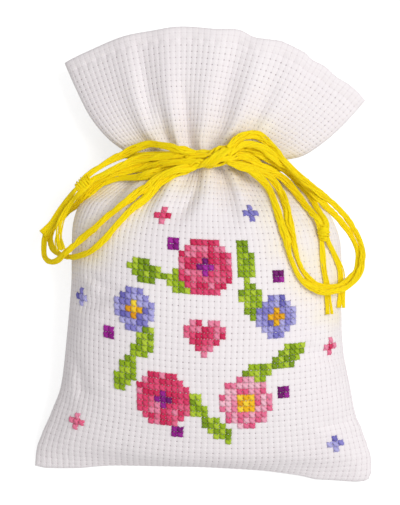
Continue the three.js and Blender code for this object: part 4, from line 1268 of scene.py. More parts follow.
@dataclass(frozen=True)
class Plies:
    """How the plies of a strand lie: in layers that turn round its middle."""

    layers: tuple[int, ...] = (1, 4, 9)
    ply: float = 0.00022
    reach: float = 0.00058
    flatness: float = 0.45
    pitch: float = 0.03
    wander: float = 0.35
    breath: float = 0.0
    sides: int = 6
    spacing: float = 0.00055
    layer_turn: float = 0.37
    wander_wave: float = 0.011
    swell_wave: float = 0.017
    breath_wave: float = 0.02
    seeds_apart: int = 50
    reach_swell: float = 0.35
    ply_swell: float = 0.08
    fibres_apart: float = 3.7
    tone_range: float = 0.6

    @property
    def count(self) -> int:
        """How many plies there are."""
        return sum(self.layers)

    def _rings(self) -> tuple[Array, Array]:
        """Each ply's share of the reach and its angle, layer by layer from the middle outwards."""
        last = len(self.layers) - 1
        shares = [np.full(n, i / last if last else 1.0) for i, n in enumerate(self.layers)]
        angles = [TURN * (np.arange(n) / n + self.layer_turn * i) for i, n in enumerate(self.layers)]
        return np.concatenate(shares), np.concatenate(angles)

    def sweep(
        self, line: Array, reference: Point, seed: int, girth: Array | float = 1.0, fan: Array | float = 0.0
    ) -> Swept:
        """Carry the plies' round sections along a line.

        Each ply's centre is line + reach * (side * cos(angle) + up * flatness * sin(angle)), and its angle
        grows with the distance along the line and wanders a little.

        Args:
            line: The strand's centreline at even steps.
            reference: A direction that the line never runs along; it sets which way is up.
            seed: Seed of the wandering.
            girth: Thickness along the line, as a share.
            fan: How far the plies spread sideways along the line, in metres.

        Returns:
            The plies' arrays, ready for a mesh.
        """
        random = np.random.default_rng(seed)
        tangent = unit(np.gradient(line, axis=0))
        side = unit(np.cross(tangent, np.array(reference)))
        up = np.cross(side, tangent)
        n, k, m = len(line), self.count, self.sides
        run = np.arange(n)[:, None] * np.linalg.norm(line[1] - line[0])
        girth, fan = (np.broadcast_to(part, n)[:, None] for part in (girth, fan))
        ring, start = self._rings()
        start = start + random.uniform(0, TURN)
        first = seed * self.seeds_apart
        drift, swell = (
            np.stack([gentle_noise(run, wave, first + shift + i) for i in range(k)], 1)
            for wave, shift in ((self.wander_wave, 0), (self.swell_wave, self.seeds_apart // 2))
        )
        breath = gentle_noise(run, self.breath_wave, first + self.seeds_apart - 1)[:, None]
        angle = start + TURN * run / self.pitch + self.wander * drift * 2
        reach = self.reach * ring * girth * (1 + self.wander * self.reach_swell * swell)
        reach = reach * (1 + self.breath * breath)
        spread = fan * np.linspace(-1, 1, k)[random.permutation(k)]
        across = reach * np.cos(angle) + spread
        lift = reach * self.flatness * np.sin(angle)
        centre = line[:, None, :] + side[:, None, :] * across[..., None] + up[:, None, :] * lift[..., None]
        theta = TURN * np.arange(m)[:, None] / m
        radius = (self.ply * girth**0.5 * (1 + self.ply_swell * drift))[..., None, None]
        section = side[:, None, None, :] * np.cos(theta) + up[:, None, None, :] * np.sin(theta)
        points = centre[:, :, None, :] + radius * section
        index = np.arange(n * k * m).reshape(n, k, m)
        turned = np.roll(index, -1, axis=2)
        quads = np.stack((index[:-1], index[1:], turned[1:], turned[:-1]), -1).reshape(-1, 4)
        caps = np.concatenate((index[0], index[-1][:, ::-1]))
        around = np.broadcast_to(np.arange(m) / m, (n, k, m)) + np.arange(k)[:, None] * self.fibres_apart
        along = np.broadcast_to(run[..., None], (n, k, m))
        tone = np.broadcast_to(random.uniform(0, 1, k)[:, None], (n, k, m)) * self.tone_range
        coordinates = np.stack((around, along), -1).reshape(-1, 2)
        return Swept(points.reshape(-1, 3), [quads, caps], coordinates, tone.ravel())


# Routes of the tie's strands, from the bow outwards, in tenths of a millimetre
ROUTES: dict[str, tuple[Point, ...]] = {
    "left_loop_inner": (
        (-14, 210, 174), (-59, 195, 193), (-97, 170, 194), (-130, 137, 208), (-165, 107, 224),
        (-196, 74, 230), (-227, 39, 225), (-260, 12, 207), (-295, 0, 176), (-324, 2, 140),
        (-351, 15, 104), (-364, 44, 72), (-358, 67, 60), (-328, 99, 72), (-299, 122, 109),
        (-278, 141, 131), (-241, 169, 139), (-196, 183, 148), (-152, 186, 172), (-129, 189, 184),
        (-85, 204, 174), (-41, 219, 183), (-14, 225, 188),
    ),
    "left_loop_outer": (
        (-14, 208, 194), (-60, 202, 206), (-102, 184, 203), (-138, 155, 205), (-175, 128, 216),
        (-212, 100, 214), (-247, 69, 205), (-281, 42, 186), (-314, 14, 172), (-342, -9, 146),
        (-362, -11, 123), (-375, 4, 105), (-374, 47, 86), (-350, 88, 86), (-320, 120, 110),
        (-293, 145, 139), (-257, 175, 148), (-214, 193, 154), (-168, 204, 154), (-122, 212, 165),
        (-79, 218, 188), (-14, 224, 205),
    ),
    "right_loop_inner": (
        (59, 237, 205), (93, 261, 189), (138, 255, 180), (175, 227, 176), (209, 201, 155),
        (243, 168, 152), (270, 140, 158), (299, 113, 130), (327, 88, 97), (354, 54, 77), (370, 12, 93),
        (365, -27, 126), (341, -57, 165), (308, -71, 199), (265, -65, 214), (229, -24, 226),
        (214, 21, 231), (205, 68, 224), (196, 110, 205), (186, 147, 176), (160, 185, 169),
        (119, 207, 179), (58, 221, 185),
    ),
    "right_loop_outer": (
        (58, 254, 207), (88, 277, 188), (130, 284, 167), (166, 257, 165), (186, 231, 179),
        (218, 198, 172), (253, 167, 171), (275, 150, 168), (304, 129, 137), (332, 105, 104),
        (357, 76, 80), (378, 34, 85), (381, -3, 112), (370, -38, 145), (346, -65, 180),
        (312, -79, 211), (266, -77, 226), (227, -50, 236), (205, -5, 240), (194, 40, 239),
        (180, 85, 229), (167, 129, 211), (149, 168, 194), (116, 199, 194), (58, 220, 203),
    ),
    "left_tail_lower": (
        (-14, 242, 188), (-60, 237, 193), (-103, 233, 179), (-149, 228, 164), (-193, 211, 167),
        (-232, 191, 170), (-255, 180, 168),
    ),
    "left_tail_upper": (
        (-14, 241, 205), (-55, 250, 204), (-89, 259, 189), (-129, 263, 166), (-170, 249, 152),
        (-202, 234, 152), (-233, 215, 160), (-264, 194, 166),
    ),
    "right_tail_lower": (
        (58, 237, 186), (104, 232, 179), (145, 210, 167), (183, 190, 149), (216, 157, 150),
        (241, 122, 167), (272, 79, 191),
    ),
    "right_tail_upper": (
        (58, 253, 188), (105, 251, 168), (149, 234, 168), (185, 211, 148), (219, 184, 131),
        (250, 149, 140), (273, 108, 166), (288, 81, 184),
    ),
    "left_end_long": (
        (-295, 159, 173), (-313, 139, 144), (-334, 111, 117), (-356, 79, 101), (-381, 55, 97),
    ),
    "left_end_short": (
        (-285, 151, 173), (-308, 128, 146), (-328, 99, 126), (-337, 78, 124), (-337, 43, 145),
        (-329, 16, 174),
    ),
    "right_end_short": (
        (278, 40, 194), (282, -2, 195), (287, -43, 196), (292, -85, 194), (296, -134, 193),
    ),
    "right_end_long": (
        (292, 41, 185), (311, 2, 167), (326, -34, 156), (328, -77, 154), (327, -120, 157),
    ),
}


def body_of(node: str) -> str:
    """The body that a node of the bow belongs to, whose name begins the node's."""
    return node.rsplit("_", 1)[0]


@dataclass(frozen=True)
class Cord:
    """A free strand of the tie: the nodes along it from the bow outwards, its real length and its end."""

    nodes: tuple[str, ...]
    length: float
    far_end: str
    frayed_from: float | None = None

    @property
    def route(self) -> tuple[Point, ...]:
        """Places along it, in metres."""
        places = sum((ROUTES[node] for node in self.nodes), ())
        return tuple(tuple(tenths / TENTHS_PER_METRE for tenths in place) for place in places)


@dataclass(frozen=True)
class Tail:
    """A knot near the end of a tail: where it is and which way the tail runs there."""

    node: str
    centre: Point
    heading: Point
    length: float
    radius: float
    turns: float = 2.4
    samples: int = 160
    taper: float = 0.35


@dataclass
class Tie:
    """The floss: windings round the neck, the bow's knot, two doubled loops and two doubled tails."""

    finish: bpy.types.Material
    diameter: float = 0.0013
    plies: Plies = Plies(breath=0.2)
    tail_plies: Plies = Plies((1, 9), ply=0.0002, reach=0.00026, flatness=2.3, pitch=0.02, wander=0.3)
    core_plies: Plies = Plies((1, 7, 14), ply=0.00042, reach=0.0019, flatness=0.74)
    band_plies: Plies = Plies((3,), reach=0.00016, flatness=0.9, pitch=0.01, wander=0.5)
    winding_centre: Point = (0.0009, 0.0234, 0.01005)
    winding_half: tuple[float, float] = (0.0191, 0.0071)
    winding_sag: float = 0.0012
    winding_tilt: float = 0.043
    winding_pitch: float = 0.0016
    winding_opening: tuple[float, float] = (-0.0014, 0.0058)
    winding_samples: int = 400
    end_lift: float = 0.0014
    end_reach: float = 0.0026
    end_gather: float = 0.4
    glow_spacing: float = 0.0015

    cords: tuple[Cord, ...] = (
        Cord(("left_loop_inner",), 0.0979, "object"),
        Cord(("left_loop_outer",), 0.0978, "object"),
        Cord(("right_loop_inner",), 0.108, "object"),
        Cord(("right_loop_outer",), 0.1127, "object"),
        Cord(("left_tail_lower", "left_end_short"), 0.0489, "knot", 0.03),
        Cord(("left_tail_upper", "left_end_long"), 0.0493, "bare", 0.032),
        Cord(("right_tail_lower", "right_end_short"), 0.0509, "knot", 0.033),
        Cord(("right_tail_upper", "right_end_long"), 0.0546, "bare", 0.036),
    )
    tucked_girth: float = 0.6
    loft: float = 0.6
    tuck: float = 0.003
    slack_start: float = 0.012
    slack_over: float = 0.02
    slack_loss: float = 0.3
    fray_start: float = 0.002
    fray_loss: float = 0.45
    fray_spread: float = 0.0008
    fray_power: float = 0.7

    tails: tuple[Tail, ...] = (
        Tail("left_tail_knot", (-0.0277, 0.0172, 0.0167), (-0.75, -0.66, 0.0), 0.003, 0.00115),
        Tail("right_tail_knot", (0.0283, 0.0056, 0.01915), (0.12, -0.99, 0.0), 0.0028, 0.00105),
    )
    knot_spacing: float = 0.0004
    core: tuple[Point, ...] = (
        (-0.0038, 0.0222, 0.0190), (-0.0012, 0.0225, 0.0192), (0.0022, 0.0228, 0.0191),
        (0.0054, 0.0236, 0.0193), (0.0080, 0.0243, 0.0189),
    )
    core_ends: float = 0.62
    band_centre: Point = (0.0034, 0.0232, 0.0191)
    band_slant: Point = (1.25, 0.9, 0.0)
    band_half: tuple[float, float] = (0.0024, 0.0021)
    band_arc: tuple[float, float] = (205, -25)
    band_samples: int = 40
    band_width: float = 0.0024
    band_count: int = 9
    band_unevenness: float = 0.00025

    def lines(self) -> Array:
        """Points along all free strands and windings, from which the cloth gets painted yellow bounce light.
        """
        routes = [smooth_route(cord.route, self.glow_spacing) for cord in self.cords]
        return np.concatenate(routes + [self._winding(0.0)])

    def _winding(self, shift: float) -> Array:
        """A turn round the neck: an ellipse that sags at its sides and whose ends rise into the bow's knot.

        Args:
            shift: How far along the bag it is moved.

        Returns:
            Points along the turn.
        """
        x0, y0, z0 = self.winding_centre
        half_width, half_depth = self.winding_half
        first, last = (math.acos((x - x0) / half_width) for x in self.winding_opening)
        angle = np.linspace(last, last - TURN + (first - last), self.winding_samples)
        across = half_width * np.cos(angle)
        from_end = half_width * np.minimum(np.abs(angle - angle[0]), np.abs(angle - angle[-1]))
        inside = np.exp(-((from_end / self.end_reach) ** 2))
        sag = self.winding_sag * np.cos(angle) ** 2
        y = y0 - self.winding_tilt * across - sag + shift * (1 - self.end_gather * inside)
        z = z0 + half_depth * np.sin(angle) + self.end_lift * inside
        return even_steps(np.stack((x0 + across, y, z), 1), self.plies.spacing)

    def _girth(self, run: Array, frayed_from: float | None) -> tuple[Array, Array]:
        """How thick a strand is along its run, and how far its plies spread.

        It is thin where it is tucked into the bow, fullest just outside and a little slack further out.

        Args:
            run: Distances along the strand, from the bow.
            frayed_from: Where it starts to fray, or None for a loop, which ends in the bow again.

        Returns:
            Thickness as a share, and the spread in metres.
        """
        outside = np.minimum(run, run[-1] - run) if frayed_from is None else run
        far = np.clip((outside - self.slack_start) / self.slack_over, 0, 1)
        girth = self.tucked_girth + self.loft * np.clip(outside / self.tuck, 0, 1) - self.slack_loss * far
        if frayed_from is None:
            return girth, np.zeros(len(run))
        past = np.clip((run - frayed_from) / (run[-1] - frayed_from), 0, 1)
        fraying = np.clip((run - frayed_from + self.fray_start) / self.fray_start, 0, 1)
        return girth * (1 - self.fray_loss * fraying), self.fray_spread * past**self.fray_power

    def build_cords(self) -> None:
        knots = {tail.node: self._tail_knot(tail, seed) for seed, tail in enumerate(self.tails, 21)}
        for seed, cord in enumerate(self.cords, 1):
            body = body_of(cord.nodes[0])
            line = smooth_route(cord.route, self.plies.spacing)
            run = np.linspace(0, 1, len(line)) * np.linalg.norm(np.diff(line, axis=0), axis=1).sum()
            swept = self.plies.sweep(line, (0, 0, 1), seed, *self._girth(run, cord.frayed_from))
            piece = swept.piece(f"{cord.nodes[0]}_floss", self.finish, body, "yellow_floss", *cord.nodes)
            cord.route[0]
            log.info("%s: %.1f mm", piece.name, run[-1] * 1000)

    def _tail_knot(self, tail: Tail, seed: int) -> bpy.types.Object:
        """A tail's knot: a coil, centre + radius * (a * cos(angle) + b * sin(angle)) + heading * height."""
        heading = unit(np.array(tail.heading))
        a = unit(np.cross(heading, (0.0, 0.0, 1.0)))
        b = np.cross(a, heading)
        angle = np.linspace(0, TURN * tail.turns, tail.samples)[:, None]
        share = np.linspace(-0.5, 0.5, tail.samples)[:, None]
        radius = tail.radius * (1 - tail.taper * np.abs(2 * share) ** 3)
        round_it = radius * (a * np.cos(angle) + b * np.sin(angle))
        coil = even_steps(np.array(tail.centre) + round_it + heading * share * tail.length, self.knot_spacing)
        swept = self.tail_plies.sweep(coil, tuple(heading), seed)
        return swept.piece(f"{tail.node}_floss", self.finish, body_of(tail.node), "yellow_floss", tail.node)

    def _core(self) -> Swept:
        """The bundle inside the bow's knot: three layers of plies, thickest in the middle of its run."""
        line = smooth_route(self.core, self.knot_spacing)
        swell = np.sin(math.pi * np.linspace(0, 1, len(line))) ** 0.6
        return self.core_plies.sweep(line, (0, 0, 1), 41, self.core_ends + (1 - self.core_ends) * swell)

    def _band(self) -> list[Swept]:
        """The band over the knot: plies side by side, each slant * width * cos(a) + height * sin(a)."""
        half_width, half_height = self.band_half
        angle = np.radians(np.linspace(*self.band_arc, self.band_samples))[:, None]
        over = np.array(self.band_slant) * half_width * np.cos(angle)
        arch = np.array(self.band_centre) + over + np.array((0, 0, half_height)) * np.sin(angle)
        across = np.linspace(-0.5, 0.5, self.band_count) * self.band_width
        lifts = np.random.default_rng(55).uniform(0, self.band_unevenness, self.band_count)
        return [
            self.band_plies.sweep(even_steps(arch + (shift, 0, lift), self.knot_spacing), (1, 0, 0), seed)
            for seed, (shift, lift) in enumerate(zip(across, lifts), 60)
        ]

    def build_neck(self) -> None:
        """Make the windings and the bow's knot, which stay on the bag."""
        parts = {
            "neck_winding_upper": self.plies.sweep(self._winding(self.winding_pitch / 2), (0, 1, 0), 31),
            "neck_winding_lower": self.plies.sweep(self._winding(-self.winding_pitch / 2), (0, 1, 0), 32),
            "bow_knot": Swept.joined([self._core(), *self._band()]),
        }
        for node, swept in parts.items():
            swept.piece(f"{node}_floss", self.finish, "bag", "yellow_floss", node)
        log.info("windings and bow knot")


# Embroidery

# Charts, from their top rows: p is a petal's block, h and e are a blossom's heart
ROSE = "..ppppp.. .ppppppp. ppppppppp pppphpppp ppphhhppp pppphpppp ppppppppp .ppppppp. ..ppppp..".split()
BELL = "..ppp.. .ppppp. pppeppp ppeeepp pppeppp .ppppp. ..ppp..".split()
DAISY = "...ppp... .ppppppp. .ppppppp. pppeeeppp pppeeeppp pppeeeppp .ppppppp. .ppppppp. ...ppp...".split()
HEART = ".pp.pp. ppppppp ppppppp .ppppp. ..ppp.. ...p...".split()
BERRY = "pp pp".split()
BUD = ".p. ppp .p.".split()


@dataclass
class Wreath:
    """The wreath's chart: which piece owns each block of the cloth."""

    column: float = 28.5
    row: float = 26.5
    radius: float = 12.3
    berry_radius: float = 16.3
    berry_turn: float = 15
    leaf_length: float = 7.4
    leaf_width: float = 3.4
    leaf_swing: float = 0.75
    leaf_reach: float = 3.1
    blossom_turns: tuple[float, ...] = (90, 18, -54, -126, 162)
    leaf_turns: tuple[float, ...] = (54, -18, -90, -162, 126)
    bud_blocks: tuple[tuple[int, int], ...] = ((20, 46), (37, 47), (51, 24), (50, 7), (6, 9), (5, 30))
    owner: dict[tuple[int, int], str] = field(default_factory=dict)
    slots: dict[str, str] = field(default_factory=dict)

    def _claim(self, name: str, slot: str, blocks: Sequence[tuple[int, int]]) -> None:
        """Give blocks to a piece, over whatever had them before."""
        self.slots[name] = slot
        self.owner.update({block: name for block in blocks})

    def _around(self, degrees: float, radius: float) -> tuple[float, float]:
        """A place on a circle round the wreath's middle, in blocks."""
        angle = math.radians(degrees)
        return self.column + radius * math.cos(angle), self.row + radius * math.sin(angle)

    @staticmethod
    def _charted(chart: Sequence[str], letter: str, column: float, row: float) -> list[tuple[int, int]]:
        """The blocks that a letter marks in a chart centred on a place."""
        left = math.floor(column - len(chart[0]) / 2 + 0.5)
        top = math.floor(row + len(chart) / 2 + 0.5) - 1
        marks = ((i, j, mark) for j, line in enumerate(chart) for i, mark in enumerate(line))
        return [(left + i, top - j) for i, j, mark in marks if mark == letter]

    def _leaf(self, degrees: float, side: int) -> list[tuple[int, int]]:
        """The blocks whose centres lie inside a lens beside the wreath's ring."""
        heading = math.radians(degrees) + (self.leaf_swing if side > 0 else math.pi + self.leaf_swing)
        base = self._around(degrees, self.radius)
        cosine, sine = math.cos(heading), math.sin(heading)
        middle = (base[0] + self.leaf_reach * cosine, base[1] + self.leaf_reach * sine)
        reach = math.ceil(self.leaf_length)
        near = (np.arange(math.floor(at) - reach, math.floor(at) + reach + 1) for at in middle)
        column, row = np.meshgrid(*near, indexing="ij")
        x, y = column + 0.5 - middle[0], row + 0.5 - middle[1]
        along = (x * cosine + y * sine) / (self.leaf_length / 2)
        across = (y * cosine - x * sine) / (self.leaf_width / 2)
        inside = (np.abs(along) < 1) & (np.abs(across) < 1 - along**2)
        return list(zip(column[inside].tolist(), row[inside].tolist()))

    def chart(self) -> dict[str, Array]:
        """Work out every piece's blocks.

        Returns:
            Block columns and rows of each piece, by its name.
        """
        for i, degrees in enumerate(self.leaf_turns, 1):
            self._claim(f"leaf_spray_{i}", "lime_cotton", self._leaf(degrees, 1) + self._leaf(degrees, -1))
        rose, bell, daisy = (ROSE, "rose_cotton"), (BELL, "lavender_cotton"), (DAISY, "pale_rose_cotton")
        kinds = (rose, bell, daisy, rose, bell)
        for i, (degrees, (kind, petal)) in enumerate(zip(self.blossom_turns, kinds), 1):
            place = self._around(degrees, self.radius)
            letter, heart = ("h", "plum_cotton") if kind is ROSE else ("e", "gold_cotton")
            self._claim(f"blossom_{i}_petals", petal, self._charted(kind, "p", *place))
            self._claim(f"blossom_{i}_heart", heart, self._charted(kind, letter, *place))
        self._claim("wreath_heart", "rose_cotton", self._charted(HEART, "p", self.column, self.row))
        for i, degrees in enumerate(self.leaf_turns, 1):
            place = self._around(degrees - self.berry_turn, self.berry_radius)
            self._claim(f"berry_{i}", "plum_cotton", self._charted(BERRY, "p", *place))
        for i, block in enumerate(self.bud_blocks, 1):
            slot = "rose_cotton" if i % 2 else "lavender_cotton"
            self._claim(f"bud_{i}", slot, self._charted(BUD, "p", *block))
        return {name: np.array([b for b, held in self.owner.items() if held == name]) for name in self.slots}


@dataclass
class Embroidery:
    """Crossed stitches: two legs over each block, whose ends sink into the holes at its corners."""

    cloth: PanelMap
    finishes: dict[str, bpy.types.Material]
    wreath: Wreath = field(default_factory=Wreath)
    inset: float = 0.07
    sink: float = 0.00014
    rise: tuple[float, float] = (0.00034, 0.00052)
    half_width: float = 0.00046
    half_height: float = 0.00017
    spans: tuple[float, ...] = (0.0, 0.13, 0.34, 0.66, 0.87, 1.0)
    section: tuple[tuple[float, float], ...] = (
        (-1, 0), (-0.55, 0.9), (0, 0.62), (0.55, 0.9), (1, 0), (0, -0.9),
    )
    wobble: float = 0.025
    unevenness: float = 0.06
    end_width: float = 0.56
    end_height: float = 0.6
    fibre_shift: float = 40

    def _legs(self, blocks: Array, seed: int) -> Swept:
        """Sweep a two-lobed section along every leg of the stitches over these blocks.

        A leg's middle line runs from corner to corner and rises as the square root of a sine.

        Args:
            blocks: Block columns and rows.
            seed: Seed of the small differences from stitch to stitch.

        Returns:
            The legs' arrays, ready for a mesh.
        """
        random = np.random.default_rng(seed)
        s = np.array(self.spans)
        arch = np.sin(math.pi * s)
        leg = np.array(((1.0,), (-1.0,)))
        legs = (len(blocks), 2, 1)
        shape = (*legs[:2], len(s))
        wobble = random.normal(0, self.wobble, legs)
        run = self.inset + (1 - 2 * self.inset) * s
        column = np.broadcast_to(blocks[:, 0, None, None] + run + wobble * arch, shape)
        slanted = 0.5 + leg * (run - 0.5)
        row = np.broadcast_to(blocks[:, 1, None, None] + slanted - wobble * leg * arch, shape)
        swell = np.sqrt(np.maximum(arch, 0))
        lifted = np.array(self.rise)[:, None] * (1 + random.normal(0, self.unevenness, legs))
        height = self.cloth.panel.sizes.thickness / 2 - self.sink + lifted * swell
        centre, normal = self.cloth.lay(column, row, height)
        tangent = unit(np.gradient(centre, axis=2))
        side = unit(np.cross(tangent, normal))
        up = np.cross(side, tangent)
        width = (self.half_width * (self.end_width + (1 - self.end_width) * swell))[:, None, None]
        tall = (self.half_height * (self.end_height + (1 - self.end_height) * swell))[:, None, None]
        ring = np.array(self.section)
        sideways = side[..., None, :] * width * ring[:, :1]
        points = centre[..., None, :] + sideways + up[..., None, :] * tall * ring[:, 1:]
        index = np.arange(points[..., 0].size).reshape(points.shape[:-1])
        turned = np.roll(index, -1, axis=3)
        near, far = np.s_[:, :, :-1], np.s_[:, :, 1:]
        quads = np.stack((index[near], turned[near], turned[far], index[far]), -1).reshape(-1, 4)
        sides = len(ring)
        caps = np.concatenate((index[:, :, 0, ::-1].reshape(-1, sides), index[:, :, -1].reshape(-1, sides)))
        grid = np.broadcast_to(np.arange(sides) / sides, index.shape)
        length = np.broadcast_to(s[:, None] + random.uniform(0, self.fibre_shift, (*legs, 1)), index.shape)
        tone = np.broadcast_to(random.uniform(0, 1, (len(blocks), 1, 1, 1)), index.shape)
        coordinates = np.stack((grid, length), -1).reshape(-1, 2)
        return Swept(points.reshape(-1, 3), [quads, caps], coordinates, tone.ravel())

    def build(self) -> None:
        """Make every stitched piece in its node's place."""
        total = 0
        for seed, (name, blocks) in enumerate(self.wreath.chart().items(), 100):
            slot = self.wreath.slots[name]
            self._legs(blocks, seed).piece(f"{name}_stitches", self.finishes[slot], "bag", slot, name)
            total += len(blocks)
        log.info("embroidery: %d crossed stitches", total)


# Sewing threads


@dataclass
class Sewing:
    """The running threads of the side seams, the bottom seam and the hems.

    A span holds the shares of the cloth's width or length at a thread's ends, and its count of points. The
    search for a side seam holds the blocks from the edge between which it looks, and its count of steps.
    """

    front: PanelMap
    back: PanelMap
    finish: bpy.types.Material
    inset: float = 0.0015
    bottom_row: float = 1.59
    hem_row: float = 80.63
    hem_distance: float = 0.001375
    side_span: tuple[float, float, int] = (0.06, 0.97, 120)
    side_search: tuple[float, float, int] = (0, 12, 240)
    bottom_span: tuple[float, float, int] = (0.06, 0.94, 120)
    hem_span: tuple[float, float, int] = (0.1, 0.9, 160)
    plies: Plies = Plies((3,), ply=0.00007, reach=0.00006, flatness=1.0, pitch=0.0012, spacing=0.0003)

    def _seam(self, side: int) -> Array:
        """Points just inside a side seam: at one plan distance from the edge, halfway between the panels."""
        rows = np.linspace(*self.side_span) * self.front.panel.sizes.blocks_along
        columns = np.linspace(*self.side_search)
        if side > 0:
            columns = self.front.panel.sizes.blocks_across - columns
        lines = []
        for cloth in (self.front, self.back):
            points, _ = cloth.lay(*np.meshgrid(columns, rows), 0.0)
            gap = np.linalg.norm(points[:, :, :2] - points[:, :1, :2], axis=2)
            first = np.argmax(gap > self.inset, axis=1)
            lines.append(np.take_along_axis(points, first[:, None, None], 1)[:, 0])
        return (lines[0] + lines[1]) / 2

    def _bottom(self) -> Array:
        """Points just inside the bottom seam, halfway between the panels."""
        columns = np.linspace(*self.bottom_span) * self.front.panel.sizes.blocks_across
        rows = np.full_like(columns, self.bottom_row)
        return (self.front.lay(columns, rows, 0.0)[0] + self.back.lay(columns, rows, 0.0)[0]) / 2

    def _hem(self, cloth: PanelMap) -> Array:
        """Points along the inside of a hem."""
        columns = np.linspace(*self.hem_span) * cloth.panel.sizes.blocks_across
        rows = np.full_like(columns, self.hem_row)
        return cloth.lay(columns, rows, -self.hem_distance)[0]

    def build(self) -> None:
        """Make each thread in its node's place."""
        lines = {
            "left_seam_thread": self._seam(-1),
            "right_seam_thread": self._seam(1),
            "bottom_seam_thread": self._bottom(),
            "front_hem_thread": self._hem(self.front),
            "back_hem_thread": self._hem(self.back),
        }
        for seed, (name, line) in enumerate(lines.items(), 200):
            swept = self.plies.sweep(even_steps(line, self.plies.spacing), (0, 0, 1), seed)
            swept.piece(f"{name}_plies", self.finish, "bag", "sewing_cotton", name)
        log.info("sewing threads: %d", len(lines))


# Filling


@dataclass
class Filling:
    """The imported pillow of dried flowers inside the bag, with loose petals pressed into it.

    The pillow lies by shares of the panels' width and length, and a petal's form is in shares of its length.
    """

    front: PanelMap
    back: PanelMap
    pillow_finish: bpy.types.Material
    petal_finish: bpy.types.Material
    pillow_name: str
    half_share: float = 0.86
    first: float = 0.075
    last: float = 0.6
    corner: float = 0.55
    clearance: float = 0.0011
    rings: int = 36
    spokes: int = 144
    lump: float = 0.0004
    lump_blocks: float = 5.0
    fullness: float = 0.8
    petals: int = 260
    petal_area: float = 0.8
    petal_length: float = 0.0052
    petal_sizes: tuple[float, float] = (0.6, 1.2)
    petal_width: float = 0.32
    petal_taper: float = 0.8
    petal_curls: tuple[float, float] = (0.1, 0.05)
    petal_grid: tuple[int, int] = (7, 5)
    petal_half: float = 0.02
    petal_depth: float = 0.08

    def _layer(self, cloth: PanelMap, out: Array, angle: Array) -> tuple[Array, Array]:
        """Points under one panel: rings that round the corners off by a power of the angle's sine and cosine.

        Args:
            cloth: The panel's map.
            out: Shares of the way from the middle to the rim.
            angle: Angles round the middle.

        Returns:
            Points and the outward directions there.
        """
        sizes = cloth.panel.sizes
        x, y = (np.sign(f(angle)) * np.abs(f(angle)) ** self.corner for f in (np.cos, np.sin))
        u = self.half_share * out * x
        v = (self.first + self.last) / 2 + (self.last - self.first) / 2 * out * y
        column, row = (u + 1) / 2 * sizes.blocks_across, v * sizes.blocks_along
        noise = gentle_noise(np.stack((column, row), -1), self.lump_blocks, 71 + cloth.panel.side.value)
        lumps = np.abs(self.lump * (1 + noise))
        return cloth.lay(column, row, -sizes.thickness / 2 - self.clearance - lumps)

    def build(self) -> None:
        angle = TURN * np.arange(self.spokes) / self.spokes
        out = np.linspace(0, 1, self.rings + 1)[1:, None]
        points, polygons, rims = [], [], []
        for cloth in (self.front, self.back):
            count = sum(map(len, points))
            middle, _ = self._layer(cloth, np.zeros(1), np.zeros(1))
            rings, _ = self._layer(cloth, *np.broadcast_arrays(out, angle[None, :]))
            index = count + 1 + np.arange(self.rings * self.spokes).reshape(self.rings, self.spokes)
            after = np.roll(index, -1, axis=1)
            quads = np.stack((index[:-1], index[1:], after[1:], after[:-1]), -1).reshape(-1, 4)
            fan = np.stack((np.full(self.spokes, count), index[0], after[0]), 1)
            polygons += [part[:, :: cloth.panel.side.value] for part in (quads, fan)]
            points += [middle, rings.reshape(-1, 3)]
            rims.append((index[-1], after[-1]))
        (upper, upper_after), (lower, lower_after) = rims
        polygons.append(np.stack((upper, lower, lower_after, upper_after), 1))
        pillow = mesh_piece(self.pillow_name, np.concatenate(points), polygons, self.pillow_finish)
        fit_piece(pillow, "bag", "dried_flowers", "potpourri_filling")
        self._scatter()
        log.info("filling: pillow and %d petals", self.petals)

    def _scatter(self) -> None:
        """Press curled petals into the pillow: each is a closed leaf-shaped lens turned in its own way."""
        random = np.random.default_rng(81)
        out = np.sqrt(random.uniform(0, self.petal_area, self.petals))
        angle = random.uniform(0, TURN, self.petals)
        middle, normal = self._layer(self.front, out, angle)
        heading = unit(np.cross(normal, random.normal(size=(self.petals, 3))))
        side = np.cross(normal, heading)
        rows, columns = self.petal_grid
        s, t = np.linspace(0, 1, rows)[:, None], np.linspace(-1, 1, columns)
        length = self.petal_length * random.uniform(*self.petal_sizes, self.petals)[:, None, None, None]
        width = np.sin(math.pi * s**self.petal_taper) * self.petal_width
        along = np.repeat(s - 0.5, columns, 1)
        middle, normal, heading, side = (part[:, None, None, :] for part in (middle, normal, heading, side))
        flat = heading * along[..., None] + side * (width * t)[..., None]
        curl = self.petal_curls[0] * t**2 + self.petal_curls[1] * np.sin(math.pi * s)
        faces = []
        for half in (self.petal_half, -self.petal_half):
            rise = curl + half * (1 - t**2) * np.sin(math.pi * s) - self.petal_depth
            faces.append(middle + length * (flat + normal * rise[..., None]))
        top = grid_quads(rows, columns)
        both = np.concatenate((top[:, ::-1], top + rows * columns))
        starts = np.arange(self.petals)[:, None, None] * 2 * rows * columns
        polygons = (both[None] + starts).reshape(-1, 4)
        points = np.stack(faces, 1).reshape(-1, 3)
        petals = mesh_piece("potpourri_petals", points, [polygons], self.petal_finish)
        fit_piece(petals, "bag", "dried_flowers")


# Studio


